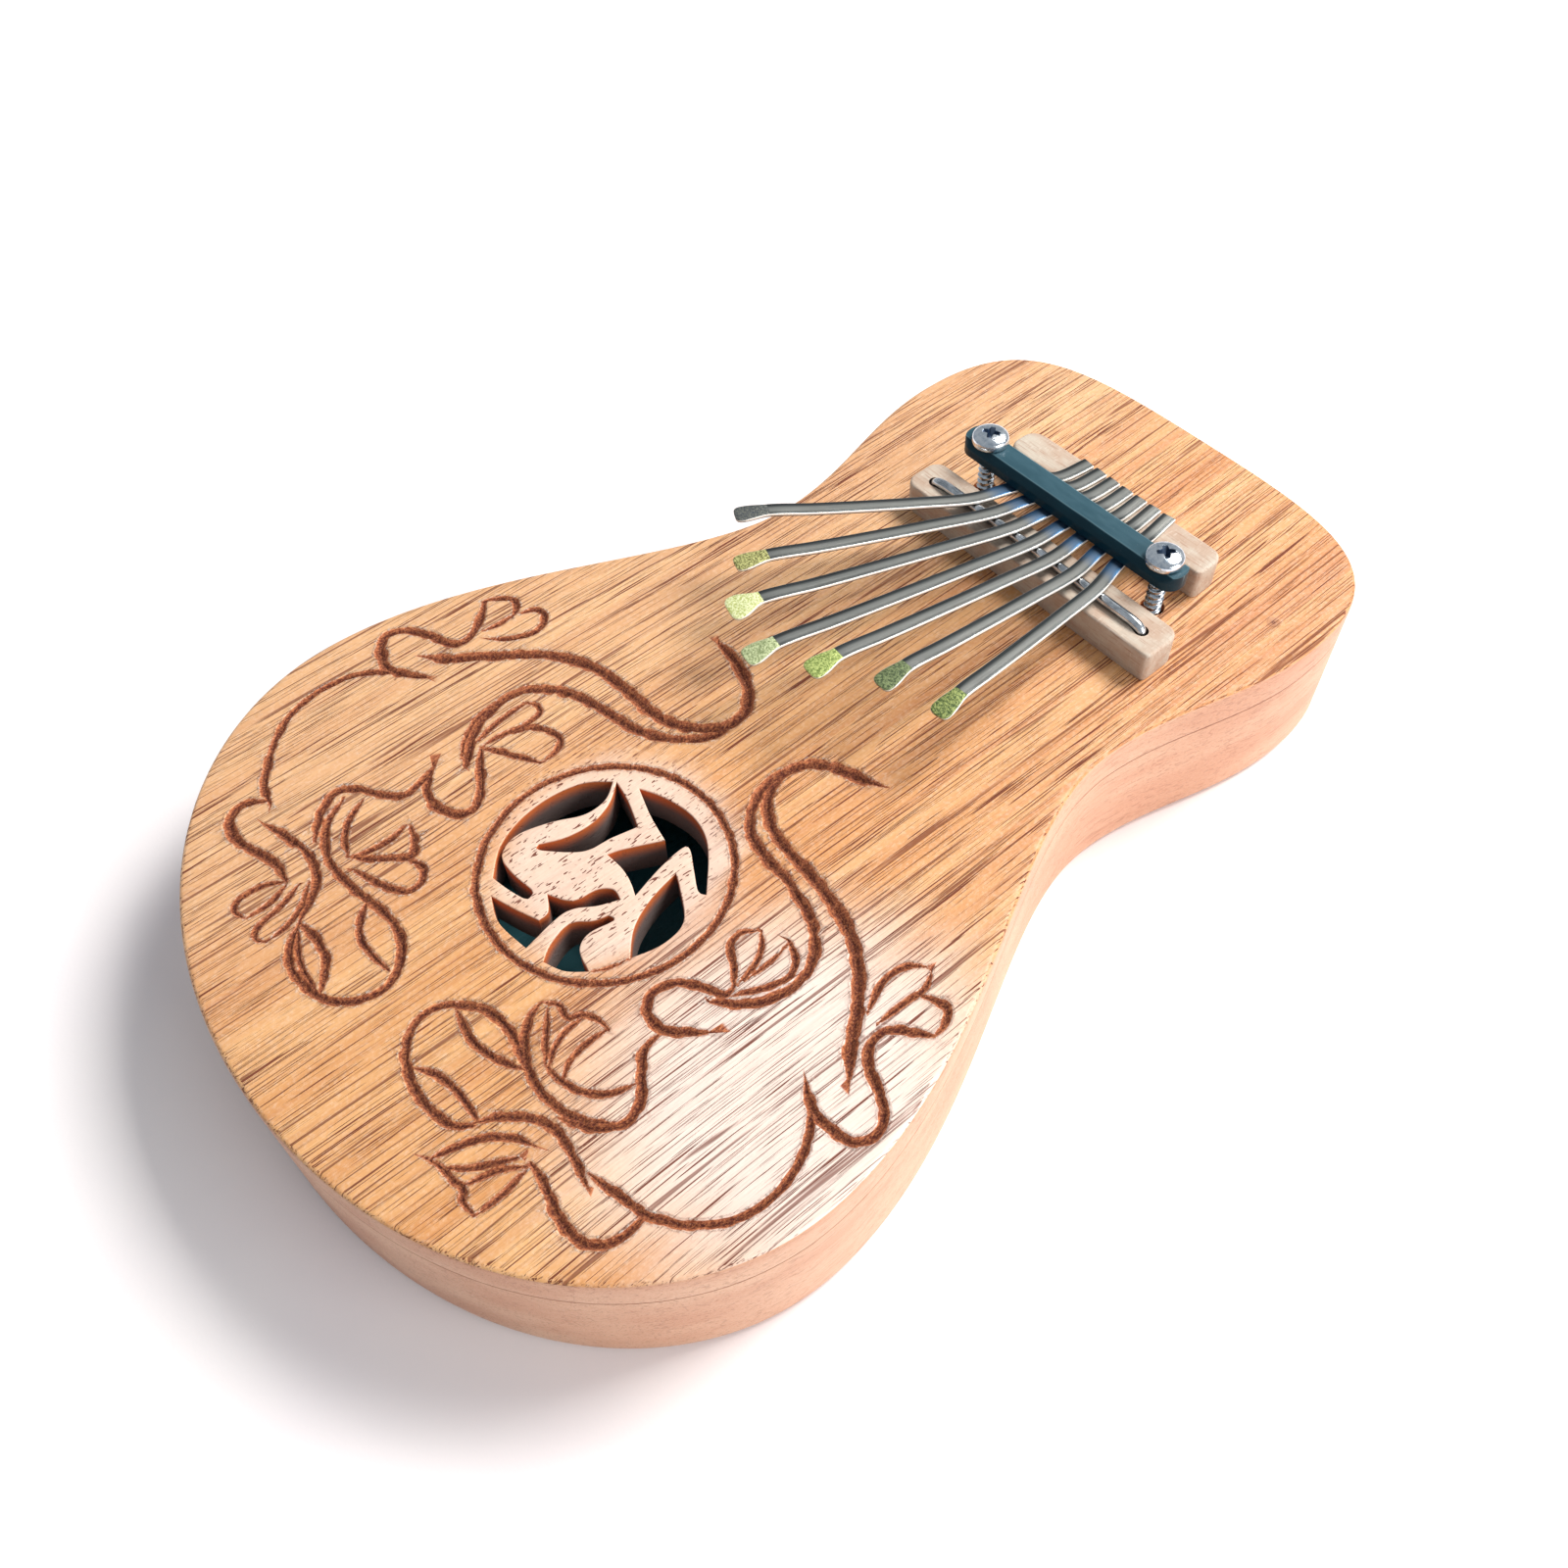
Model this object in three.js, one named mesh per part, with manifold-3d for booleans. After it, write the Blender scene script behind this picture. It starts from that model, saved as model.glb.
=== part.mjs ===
// Seven-tine box kalimba (thumb piano). Millimetres, +Z up.
// Origin: middle of the bounding box, on the underside. +Y runs up the neck, the tines point to -Y.
import * as THREE from 'three';
import { mergeVertices } from 'three/addons/utils/BufferGeometryUtils.js';
import Module from 'manifold-3d';

const wasm = await Module();
wasm.setup();

// ---- driving dimensions ----
const GAP = 0.3;                       // clearance between touching pieces
const LENGTH = 211;                    // overall, along Y
const BODY_HEIGHT = 22.2;              // hollowed block under the soundboard
const BOARD_THICKNESS = 6.8;
const FLOOR_THICKNESS = 5;             // wood left under the sound chamber
const BULB_HALF_WIDTH = 68;
const WAIST_HALF_WIDTH = 40.5;
const NECK_HALF_WIDTH = 48.5;

const ROSETTE = { x: 3, y: -44 };      // centre of the fretwork, a little right of the centre line

const BRIDGE_HEIGHT = 5.9;
// Corner radii run front left, front right, back right, back left.
const FRONT_BRIDGE = { left: -26, right: 33.6, front: 48.6, back: 57.2, corners: [2.6, 1, 2.6, 2.6] };
const REAR_BRIDGE = { left: -20, right: 26.6, front: 70.2, back: 77.4, corners: [2.4, 1, 2.6, 3] };

const ROD_RADIUS = 0.95;               // saddle rod under the tines
const ROD = { left: -21.9, right: 28.9, y: 52.5, legBottom: 1.6, bend: 1.9, seat: 0.45 };
const ROD_HOLE = 1.35;                 // holes for its legs

const BAR = { left: -24, right: 27.6, y: 63.6, height: 3.2, topHalf: 2.1, baseHalf: 3.2, wall: 1 };
const BAR_SHOULDER = 1.76;             // height at which its slanted sides start
const BAR_CORNER = 3;                  // rounding of its ends in plan
const BAR_HEIGHT_ABOVE_BOARD = 8.1;    // underside of the pressure bar
const SCREW_X = [-19, 23];
const SCREW = { shank: 1.75, head: 3.5, headHeight: 2.3, length: 32, point: 5 };
const SCREW_HOLE = 2.15;

const TINE_WIDTH = 2.75;
const TINE_THICKNESS = 0.8;
const TINE_CENTRE = 4;                 // number of the middle tine
const UNDER_BAR_SLACK = 0.15;          // extra room below the bar, where the tine curves
const TIP_LENGTH = 6;                  // flattened and flared stretch
const TINE_SAG = 0.6;                  // how far the free stretch curves below a straight line
// Width of the flattened tip along its length: share of the length, share of the flare, share of the
// plain tine's width that is left where the end rounds off.
const TIP_OUTLINE = [
  [0.2, 0.2, 1], [0.5, 0.65, 1], [0.78, 1, 1], [0.91, 0.92, 0.95], [0.975, 0.6, 0.84], [1, 0.1, 0.62],
];
// Plan position of each tine where it crosses the pieces that hold it: middle tine's x and the pitch.
const CROSSINGS = {
  tail: { y: 76.8, x: 4, pitch: 3.27 },
  rear: { y: 70.4, x: 3.9, pitch: 3.55 },
  barBack: { y: BAR.y + BAR.baseHalf, x: 3.7, pitch: 3.85 },
  barFront: { y: BAR.y - BAR.baseHalf, x: 3, pitch: 4.35 },
  saddle: { y: ROD.y, x: 3, pitch: 5.05 },
};
// Each tip in plan, its height above the board where it bends, how far it drops from there, its width.
const TIPS = [
  { x: -32.4, y: 13.1, rise: 14.5, drop: -0.2, flare: 3.7 },
  { x: -24, y: 6.2, rise: 13.5, drop: 0.1, flare: 3.8 },
  { x: -16.8, y: -1.1, rise: 13.1, drop: 0.5, flare: 5.4 },
  { x: -6.9, y: -5.8, rise: 13.1, drop: 0.6, flare: 4.3 },
  { x: 3.1, y: -0.7, rise: 14.4, drop: 0.5, flare: 4.3 },
  { x: 12, y: 6.6, rise: 13.3, drop: 0.6, flare: 4 },
  { x: 22, y: 9.8, rise: 12.4, drop: 0.6, flare: 3.8 },
];

// ---- heights worked out from the stack ----
const boardBottom = BODY_HEIGHT + GAP;
const boardTop = boardBottom + BOARD_THICKNESS;
const bridgeBottom = boardTop + GAP;
const bridgeTop = bridgeBottom + BRIDGE_HEIGHT;
const rodCentre = bridgeTop - ROD.seat + GAP + ROD_RADIUS;
const tineMiddle = TINE_THICKNESS / 2;
const tailHeight = bridgeTop + GAP + tineMiddle;
const saddleHeight = rodCentre + ROD_RADIUS + GAP + tineMiddle;
const barBottom = boardTop + BAR_HEIGHT_ABOVE_BOARD;
const underBarHeight = barBottom - GAP - tineMiddle - UNDER_BAR_SLACK;
const barTop = barBottom + BAR.height;

// ---- materials ----
function finish(color, roughness, metalness = 0) {
  return new THREE.MeshStandardMaterial({ color, roughness, metalness });
}
const materials = {
  top: finish(0xd79a5c, 0.5),
  side: finish(0xd99a78, 0.5),
  pale: finish(0xe8d4bf, 0.65),
  black: finish(0x14262c, 0.35, 0.6),
  steel: finish(0x8b9195, 0.3, 1),
  zinc: finish(0xd5d9dc, 0.2, 1),
};

const model = new THREE.Group();
model.name = 'kalimba';

function add(name, geometry, material) {
  const mesh = new THREE.Mesh(geometry, material);
  mesh.name = name;
  model.add(mesh);
  return mesh;
}

// ---- closed meshes and booleans ----
function bare(geometry) {
  const copy = geometry.clone();
  copy.deleteAttribute('normal');
  copy.deleteAttribute('uv');
  return mergeVertices(copy, 1e-4);
}

function toSolid(geometry) {
  const merged = bare(geometry);
  return new wasm.Manifold(new wasm.Mesh({
    numProp: 3,
    vertProperties: new Float32Array(merged.attributes.position.array),
    triVerts: new Uint32Array(merged.index.array),
  }));
}

function fromSolid(solid) {
  const mesh = solid.getMesh();
  const geometry = new THREE.BufferGeometry();
  geometry.setAttribute('position', new THREE.BufferAttribute(mesh.vertProperties, 3));
  geometry.setIndex(new THREE.BufferAttribute(mesh.triVerts, 1));
  geometry.computeVertexNormals();
  return geometry;
}

function prism(shape, bottom, height, curveSegments = 12) {
  const geometry = new THREE.ExtrudeGeometry(shape, { depth: height, bevelEnabled: false, curveSegments });
  return geometry.translate(0, 0, bottom);
}

function post(x, y, radius, bottom, top, sides = 24) {
  const geometry = new THREE.CylinderGeometry(radius, radius, top - bottom, sides);
  return geometry.rotateX(Math.PI / 2).translate(x, y, (top + bottom) / 2);
}

// ---- outlines ----
// Walks up the right side through [x, y] nodes joined by Bezier handles, then mirrors down the left.
function mirroredOutline(start, arcs) {
  const shape = new THREE.Shape().moveTo(...start);
  for (const [h1, h2, end] of arcs) shape.bezierCurveTo(...h1, ...h2, ...end);
  const nodes = [start, ...arcs.map((arc) => arc[2])];
  for (let i = arcs.length - 1; i >= 0; i -= 1) {
    const [h1, h2] = arcs[i];
    const end = nodes[i];
    shape.bezierCurveTo(-h2[0], h2[1], -h1[0], h1[1], -end[0], end[1]);
  }
  return shape;
}

function bodyOutline() {
  const end = LENGTH / 2;
  return mirroredOutline([0, -end], [
    [[39.5, -end], [BULB_HALF_WIDTH, -81], [BULB_HALF_WIDTH, -53]],
    [[BULB_HALF_WIDTH, -20.5], [WAIST_HALF_WIDTH, 9], [WAIST_HALF_WIDTH, 31.5]],
    [[WAIST_HALF_WIDTH, 47.5], [NECK_HALF_WIDTH, 60], [NECK_HALF_WIDTH, 76.5]],
    [[NECK_HALF_WIDTH, 105], [30, end], [0, end]],
  ]);
}

function chamberOutline() {
  return mirroredOutline([0, -96], [
    [[36, -96], [59, -74], [59, -50]],
    [[59, -24], [38, 0], [33, 18]],
    [[31, 26], [26, 30], [18, 30]],
    [[12, 30], [6, 30], [0, 30]],
  ]);
}

function roundedPlan({ left, right, front, back, corners }) {
  const [frontLeft, frontRight, backRight, backLeft] = corners;
  const quarter = Math.PI / 2;
  const shape = new THREE.Shape();
  shape.absarc(right - frontRight, front + frontRight, frontRight, -quarter, 0);
  shape.absarc(right - backRight, back - backRight, backRight, 0, quarter);
  shape.absarc(left + backLeft, back - backLeft, backLeft, quarter, 2 * quarter);
  shape.absarc(left + frontLeft, front + frontLeft, frontLeft, 2 * quarter, 3 * quarter);
  return shape;
}

function roundHole(x, y, radius) {
  return new THREE.Path().absarc(x, y, radius, 0, Math.PI * 2, true);
}

// ---- fretwork: each opening is a ring of smooth runs that meet at corners, about the rosette centre ----
const FRETWORK_STEPS = 3;              // facets between two points of a run
const FRETWORK = [
  [ // crescent along the left rim, with a blunt foot
    [[-12.8, 11.5], [-15.8, 7.6], [-17.1, 1.6], [-16.5, -4.6], [-14.2, -9.9], [-10.1, -14]],
    [[-10.1, -14], [-6.8, -13.4], [-3.6, -12.4], [-3.3, -11.5], [-4.2, -10.7], [-8.6, -11.2],
      [-12.7, -10.6], [-14.4, -6.6], [-12.8, -0.8], [-10.5, 4], [-10.6, 8.3], [-12.8, 11.5]],
  ],
  [ // upright leaf
    [[-12.3, 11.9], [-8, 11], [-2.8, 9.1]],
    [[-2.8, 9.1], [-3.9, 4.4], [-4.8, -0.4], [-9.6, -5.4], [-10.6, -4.9]],
    [[-10.6, -4.9], [-8.8, -0.8], [-8.3, 4], [-9.6, 8.4], [-12.3, 11.9]],
  ],
  [ // broad leaf hanging from the crescent under the top rim
    [[-8.7, 13.9], [-4.2, 16], [1.8, 17], [7.6, 15.2], [14.6, 9.3]],
    [[14.6, 9.3], [13.2, 8.8], [9.6, 10.8], [6.2, 12.7], [5.2, 11.8], [5.9, 6.6], [7.4, 0.9]],
    [[7.4, 0.9], [4.8, 1.9], [1.8, 2.4], [-1.7, 2.2]],
    [[-1.7, 2.2], [-0.9, 4.6], [2.2, 10.8]],
    [[2.2, 10.8], [-3.2, 12], [-8.7, 13.9]],
  ],
  [ // drop on the right
    [[8.3, 8.2], [11.2, 6.8], [16.1, 3.6], [17.1, -1.2], [15.8, -6.4]],
    [[15.8, -6.4], [11.9, -2.7], [9.5, 2.4], [8.3, 8.2]],
  ],
  [ // sweep along the bottom rim with a rising stem
    [[-7.4, -16.1], [-2.6, -17.9], [3.9, -17.3]],
    [[3.9, -17.3], [2.6, -9.2], [5, -4.6], [6.4, -1.3]],
    [[6.4, -1.3], [4.2, -1], [2.5, -3], [1.7, -7], [-1.9, -9.3]],
    [[-1.9, -9.3], [0.8, -11], [1.1, -13]],
    [[1.1, -13], [-2.8, -14.6], [-7.4, -16.1]],
  ],
  [ // small leaf low on the right
    [[7.5, -4.4], [8.8, -4.3], [8.1, -8.6], [9.6, -11.4], [13.5, -12.5]],
    [[13.5, -12.5], [11, -15.2], [7.6, -16.7]],
    [[7.6, -16.7], [5.8, -14], [4.7, -9.8], [6.7, -6.8], [7.5, -4.4]],
  ],
];

function fretworkHole(runs) {
  const place = ([x, y]) => new THREE.Vector2(ROSETTE.x + x, ROSETTE.y + y);
  const rim = runs.flatMap((run) => {
    const points = new THREE.SplineCurve(run.map(place)).getPoints(FRETWORK_STEPS * (run.length - 1));
    return points.slice(1);
  });
  return new THREE.Path(rim);
}

// ---- box ----
function makeBody() {
  let solid = toSolid(prism(bodyOutline(), 0, BODY_HEIGHT));
  const chamberDepth = BODY_HEIGHT - FLOOR_THICKNESS + 1;
  solid = solid.subtract(toSolid(prism(chamberOutline(), FLOOR_THICKNESS, chamberDepth)));
  const holeBottom = barTop + GAP - SCREW.length - 1;
  for (const x of SCREW_X) {
    solid = solid.subtract(toSolid(post(x, BAR.y, SCREW_HOLE, holeBottom, BODY_HEIGHT + 1)));
  }
  return fromSolid(solid);
}

function makeSoundboard() {
  const shape = bodyOutline();
  shape.holes.push(...FRETWORK.map(fretworkHole));
  shape.holes.push(...SCREW_X.map((x) => roundHole(x, BAR.y, SCREW_HOLE)));
  return prism(shape, boardBottom, BOARD_THICKNESS, 14);
}

// ---- bridges and saddle rod ----
function makeFrontBridge() {
  const shape = roundedPlan(FRONT_BRIDGE);
  shape.holes.push(...[ROD.left, ROD.right].map((x) => roundHole(x, ROD.y, ROD_HOLE)));
  const groove = new THREE.CylinderGeometry(ROD_RADIUS + GAP, ROD_RADIUS + GAP, ROD.right - ROD.left, 24);
  groove.rotateZ(Math.PI / 2).translate((ROD.left + ROD.right) / 2, ROD.y, rodCentre);
  return fromSolid(toSolid(prism(shape, bridgeBottom, BRIDGE_HEIGHT, 6)).subtract(toSolid(groove)));
}

function makeRod() {
  const rise = new THREE.CurvePath();
  const at = (x, z) => new THREE.Vector3(x, ROD.y, z);
  const { left, right, bend } = ROD;
  const low = bridgeBottom + ROD.legBottom;
  rise.add(new THREE.LineCurve3(at(left, low), at(left, rodCentre - bend)));
  rise.add(new THREE.QuadraticBezierCurve3(at(left, rodCentre - bend), at(left, rodCentre),
    at(left + bend, rodCentre)));
  rise.add(new THREE.LineCurve3(at(left + bend, rodCentre), at(right - bend, rodCentre)));
  rise.add(new THREE.QuadraticBezierCurve3(at(right - bend, rodCentre), at(right, rodCentre),
    at(right, rodCentre - bend)));
  rise.add(new THREE.LineCurve3(at(right, rodCentre - bend), at(right, low)));
  const section = new THREE.Shape().absarc(0, 0, ROD_RADIUS, 0, Math.PI * 2);
  return new THREE.ExtrudeGeometry(section, { steps: 60, curveSegments: 4, extrudePath: rise });
}

// ---- pressure bar: inverted channel with rounded ends ----
function makeBar() {
  const { left, right, y, height, topHalf, baseHalf, wall } = BAR;
  const skin = new THREE.Shape([
    [-baseHalf, 0], [-baseHalf, BAR_SHOULDER], [-topHalf, height], [topHalf, height],
    [baseHalf, BAR_SHOULDER], [baseHalf, 0], [baseHalf - wall, 0], [baseHalf - wall, BAR_SHOULDER - wall / 5],
    [topHalf - wall * 0.5, height - wall], [-topHalf + wall * 0.5, height - wall],
    [-baseHalf + wall, BAR_SHOULDER - wall / 5], [-baseHalf + wall, 0],
  ].map(([across, up]) => new THREE.Vector2(across, up)));
  const channel = new THREE.ExtrudeGeometry(skin, { depth: right - left, bevelEnabled: false });
  channel.rotateX(Math.PI / 2).rotateZ(Math.PI / 2).translate(left, y, barBottom);
  const corners = Array(4).fill(BAR_CORNER);
  const plan = { left, right, front: y - baseHalf - 0.01, back: y + baseHalf + 0.01, corners };
  let solid = toSolid(channel).intersect(toSolid(prism(roundedPlan(plan), barBottom - 1, height + 2, 6)));
  for (const x of SCREW_X) {
    solid = solid.subtract(toSolid(post(x, y, SCREW_HOLE, barBottom - 1, barTop + 1)));
  }
  return fromSolid(solid);
}

// ---- clamping screws: pan head, shank and point ----
function makeScrew() {
  const { shank, head, headHeight, length, point } = SCREW;
  const profile = [
    [0, -length], [shank, point - length], [shank, 0], [head, 0], [head, headHeight * 0.4],
    [head * 0.86, headHeight * 0.8], [head * 0.5, headHeight], [0, headHeight],
  ].map(([radius, up]) => new THREE.Vector2(radius, up));
  return new THREE.LatheGeometry(profile, 24).rotateX(Math.PI / 2);
}

// ---- tines ----
function crossing({ y, x, pitch }, number, height) {
  return new THREE.Vector3(x + pitch * (number - TINE_CENTRE), y, height);
}

// Middle line of a whole tine, from its tail on the rear bridge to its tip.
function tineLine(number) {
  const { x, y, rise, drop } = TIPS[number - 1];
  const saddle = crossing(CROSSINGS.saddle, number, saddleHeight);
  const tip = new THREE.Vector3(x, y, boardTop + rise - drop);
  const run = Math.hypot(tip.x - saddle.x, tip.y - saddle.y);
  const bendShare = 1 - TIP_LENGTH / run;
  const bend = saddle.clone().lerp(tip, bendShare);
  bend.z = boardTop + rise;
  const middle = saddle.clone().lerp(bend, 0.5);
  middle.z -= TINE_SAG;
  const clamped = [
    crossing(CROSSINGS.tail, number, tailHeight),
    crossing(CROSSINGS.rear, number, tailHeight),
    crossing(CROSSINGS.barBack, number, underBarHeight),
    crossing(CROSSINGS.barFront, number, underBarHeight),
    saddle,
  ];
  return { clamped, saddle, middle, bend, tip };
}

// Strip of rectangular section along stations { at, ahead, width }.
function strip(stations) {
  const up = new THREE.Vector3(0, 0, 1);
  const positions = [];
  for (const { at, ahead, width } of stations) {
    const side = new THREE.Vector3().crossVectors(ahead, up).normalize();
    const normal = new THREE.Vector3().crossVectors(side, ahead).normalize();
    for (const [across, lift] of [[-1, -1], [1, -1], [1, 1], [-1, 1]]) {
      const corner = at.clone().addScaledVector(side, across * width / 2);
      positions.push(...corner.addScaledVector(normal, lift * TINE_THICKNESS / 2).toArray());
    }
  }
  const index = [0, 1, 2, 0, 2, 3];
  for (let i = 0; i < stations.length - 1; i += 1) {
    for (let k = 0; k < 4; k += 1) {
      const a = 4 * i + k;
      const b = 4 * i + (k + 1) % 4;
      index.push(a, a + 4, b + 4, a, b + 4, b);
    }
  }
  const last = 4 * (stations.length - 1);
  index.push(last, last + 2, last + 1, last, last + 3, last + 2);
  const geometry = new THREE.BufferGeometry();
  geometry.setAttribute('position', new THREE.Float32BufferAttribute(positions, 3));
  geometry.setIndex(index);
  geometry.computeVertexNormals();
  return geometry;
}

function stationsAlong(curve, count, from = 0, to = 1) {
  return Array.from({ length: count + 1 }, (_, i) => {
    const share = THREE.MathUtils.lerp(from, to, i / count);
    return { at: curve.getPointAt(share), ahead: curve.getTangentAt(share), width: TINE_WIDTH };
  });
}

// Clamped part, from the tail to just short of the saddle line.
function makeClampedTine(number) {
  const { clamped } = tineLine(number);
  const curve = new THREE.CatmullRomCurve3(clamped, false, 'centripetal');
  const stop = 1 - GAP / 2 / curve.getLength();
  return strip(stationsAlong(curve, 14, 0, stop));
}

// Free tongue, from just past the saddle line to the flared tip.
function makeFreeTine(number) {
  const { saddle, middle, bend, tip } = tineLine(number);
  const curve = new THREE.QuadraticBezierCurve3(saddle, middle, bend);
  const stations = stationsAlong(curve, 10, GAP / 2 / curve.getLength(), 1);
  const ahead = tip.clone().sub(bend).normalize();
  const { flare } = TIPS[number - 1];
  for (const [share, open, left] of TIP_OUTLINE) {
    const width = TINE_WIDTH * left + (flare - TINE_WIDTH * left) * open;
    stations.push({ at: bend.clone().lerp(tip, share), ahead, width });
  }
  return strip(stations);
}

// ---- assembly ----
add('body', makeBody(), materials.side);
add('soundboard', makeSoundboard(), materials.top);
add('front_bridge', makeFrontBridge(), materials.pale);
add('rear_bridge', prism(roundedPlan(REAR_BRIDGE), bridgeBottom, BRIDGE_HEIGHT, 6), materials.pale);
add('saddle_rod', makeRod(), materials.steel);
add('pressure_bar', makeBar(), materials.black);
['left', 'right'].forEach((side, i) => {
  const screw = add(`clamp_screw_${side}`, makeScrew(), materials.zinc);
  screw.position.set(SCREW_X[i], BAR.y, barTop + GAP);
});
for (let number = 1; number <= TIPS.length; number += 1) {
  add(`tine_${number}_clamped`, makeClampedTine(number), materials.steel);
  add(`tine_${number}_free`, makeFreeTine(number), materials.steel);
}

export default model;
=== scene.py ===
"""Looks of a seven-tine box kalimba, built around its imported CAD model.

Blender works in metres. Plan shapes are worked out in millimetres and scaled when a mesh is made.
"""

import math
import random

import bmesh
import bpy
import numpy as np
from mathutils import Matrix, Vector, kdtree, noise
from mathutils.bvhtree import BVHTree
from mathutils.geometry import delaunay_2d_cdt


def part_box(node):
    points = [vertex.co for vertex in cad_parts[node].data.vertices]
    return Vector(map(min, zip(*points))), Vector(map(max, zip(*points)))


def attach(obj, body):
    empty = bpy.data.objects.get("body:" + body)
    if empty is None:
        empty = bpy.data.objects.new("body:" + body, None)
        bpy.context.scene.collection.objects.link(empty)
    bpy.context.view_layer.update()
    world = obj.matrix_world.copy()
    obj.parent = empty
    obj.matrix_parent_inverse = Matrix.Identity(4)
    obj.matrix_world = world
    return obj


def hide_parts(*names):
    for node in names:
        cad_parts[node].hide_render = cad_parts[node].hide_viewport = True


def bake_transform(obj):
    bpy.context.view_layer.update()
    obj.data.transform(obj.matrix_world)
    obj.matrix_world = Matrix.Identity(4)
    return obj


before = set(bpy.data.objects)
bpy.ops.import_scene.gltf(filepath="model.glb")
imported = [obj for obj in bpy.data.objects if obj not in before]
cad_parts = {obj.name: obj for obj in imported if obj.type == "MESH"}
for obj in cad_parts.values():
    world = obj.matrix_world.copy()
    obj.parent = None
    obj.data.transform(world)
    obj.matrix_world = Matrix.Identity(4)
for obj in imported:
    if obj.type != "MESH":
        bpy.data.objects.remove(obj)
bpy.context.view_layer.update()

MM = 0.001
SEED = 7
TINES = range(1, 8)                    # from -X to +X


def box_mm(node):
    """Lowest and highest corner of a CAD node, in millimetres."""
    low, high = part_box(node)
    return low / MM, high / MM


BOARD_LOW, BOARD_HIGH = box_mm("soundboard")
BODY_LOW, BODY_HIGH = box_mm("body")
BOARD_TOP = BOARD_HIGH.z
GLUE_LINE = (BODY_HIGH.z + BOARD_LOW.z) / 2

# ---- camera ----
CAMERA_PLACE = (0.119577, -0.100732, 0.220275)
CAMERA_AIM = (0.009386, -0.0117, 0.0293)
CAMERA_ROLL = math.radians(-2.06)
CAMERA_LENS = 33.25


def make_camera():
    data = bpy.data.cameras.new("camera")
    data.lens = CAMERA_LENS
    data.sensor_width = 36
    data.clip_start = 0.01
    camera = bpy.data.objects.new("camera", data)
    bpy.context.scene.collection.objects.link(camera)
    ahead = Vector(CAMERA_AIM) - Vector(CAMERA_PLACE)
    turn = ahead.to_track_quat("-Z", "Y").to_matrix().to_4x4()
    camera.matrix_world = Matrix.Translation(CAMERA_PLACE) @ turn @ Matrix.Rotation(CAMERA_ROLL, 4, "Z")
    bpy.context.scene.camera = camera
    bpy.context.scene.view_settings.view_transform = "Standard"


# ---- curves in plan ----
def spline(points, step, closed=False):
    """Evenly spaced points on a centripetal Catmull-Rom curve through the given ones."""
    points = np.asarray(points, float)
    if closed:
        padded = np.vstack([points[-1:], points, points[:2]])
    else:
        padded = np.vstack([2 * points[0] - points[1], points, 2 * points[-1] - points[-2]])
    fine = []
    t = np.arange(16)[:, None] / 16
    for i in range(len(padded) - 3):
        a, b, c, d = padded[i:i + 4]
        ab, bc, cd = (math.sqrt(max(1e-9, np.linalg.norm(q - p))) for p, q in ((a, b), (b, c), (c, d)))
        leave = bc * ((b - a) / ab - (c - a) / (ab + bc) + (c - b) / bc)
        arrive = bc * ((c - b) / bc - (d - b) / (bc + cd) + (d - c) / cd)
        fine.append(b + t * (leave + t * (3 * (c - b) - 2 * leave - arrive
                                          + t * (leave + arrive - 2 * (c - b)))))
    fine.append(padded[-2:-1])
    fine = np.vstack(fine)
    run = np.concatenate([[0], np.cumsum(np.linalg.norm(np.diff(fine, axis=0), axis=1))])
    count = max(2, math.ceil(run[-1] / step))
    at = np.linspace(0, run[-1], count + 1)
    even = np.stack([np.interp(at, run, fine[:, k]) for k in range(fine.shape[1])], axis=1)
    return even[:-1] if closed else even


def smooth_rim(loop, step, corner=25):
    """A closed loop as smooth runs between its corners, evenly spaced."""
    ahead = np.roll(loop, -1, 0) - loop
    behind = loop - np.roll(loop, 1, 0)
    cross = behind[:, 0] * ahead[:, 1] - behind[:, 1] * ahead[:, 0]
    turn = np.degrees(np.abs(np.arctan2(cross, (behind * ahead).sum(1))))
    corners = np.flatnonzero(turn > corner)
    if len(corners) == 0:
        return spline(loop, step, closed=True)
    runs = []
    for start, stop in zip(corners, np.roll(corners, -1)):
        count = (stop - start) % len(loop) or len(loop)
        picked = loop[(start + np.arange(count + 1)) % len(loop)]
        runs.append(spline(picked, step)[:-1])
    return np.vstack(runs)


def rims(node, height, step):
    """Loops round a CAD node's flat face at this height, with its material on their left."""
    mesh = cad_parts[node].data
    places = [tuple(round(c / MM, 4) for c in v.co) for v in mesh.vertices]
    edges = set()
    for face in mesh.polygons:
        ring = [places[i] for i in face.vertices]
        if all(abs(p[2] - height) < 0.01 for p in ring) and face.normal.z > 0.5:
            edges.update(zip(ring, ring[1:] + ring[:1]))
    follow = {a: b for a, b in edges if (b, a) not in edges}
    loops = []
    while follow:
        first = min(follow)
        loop, here = [], first
        while here in follow:
            loop.append(here[:2])
            here = follow.pop(here)
        loops.append(np.array(loop))
    loops.sort(key=lambda one: -np.ptp(one[:, 1]))
    return [smooth_rim(loop, step) for loop in loops]


def left_of(loop):
    """For each point of a closed loop, the direction into the material on its left."""
    ahead = np.roll(loop, -1, 0) - loop
    behind = loop - np.roll(loop, 1, 0)
    ahead /= np.linalg.norm(ahead, axis=1)[:, None]
    behind /= np.linalg.norm(behind, axis=1)[:, None]
    left = np.stack([-(ahead + behind)[:, 1], (ahead + behind)[:, 0]], axis=1)
    size = np.linalg.norm(left, axis=1)[:, None]
    return left / np.maximum(size, 1e-6) * np.minimum(2 / np.maximum(size, 1e-6), 1.6)


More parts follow.
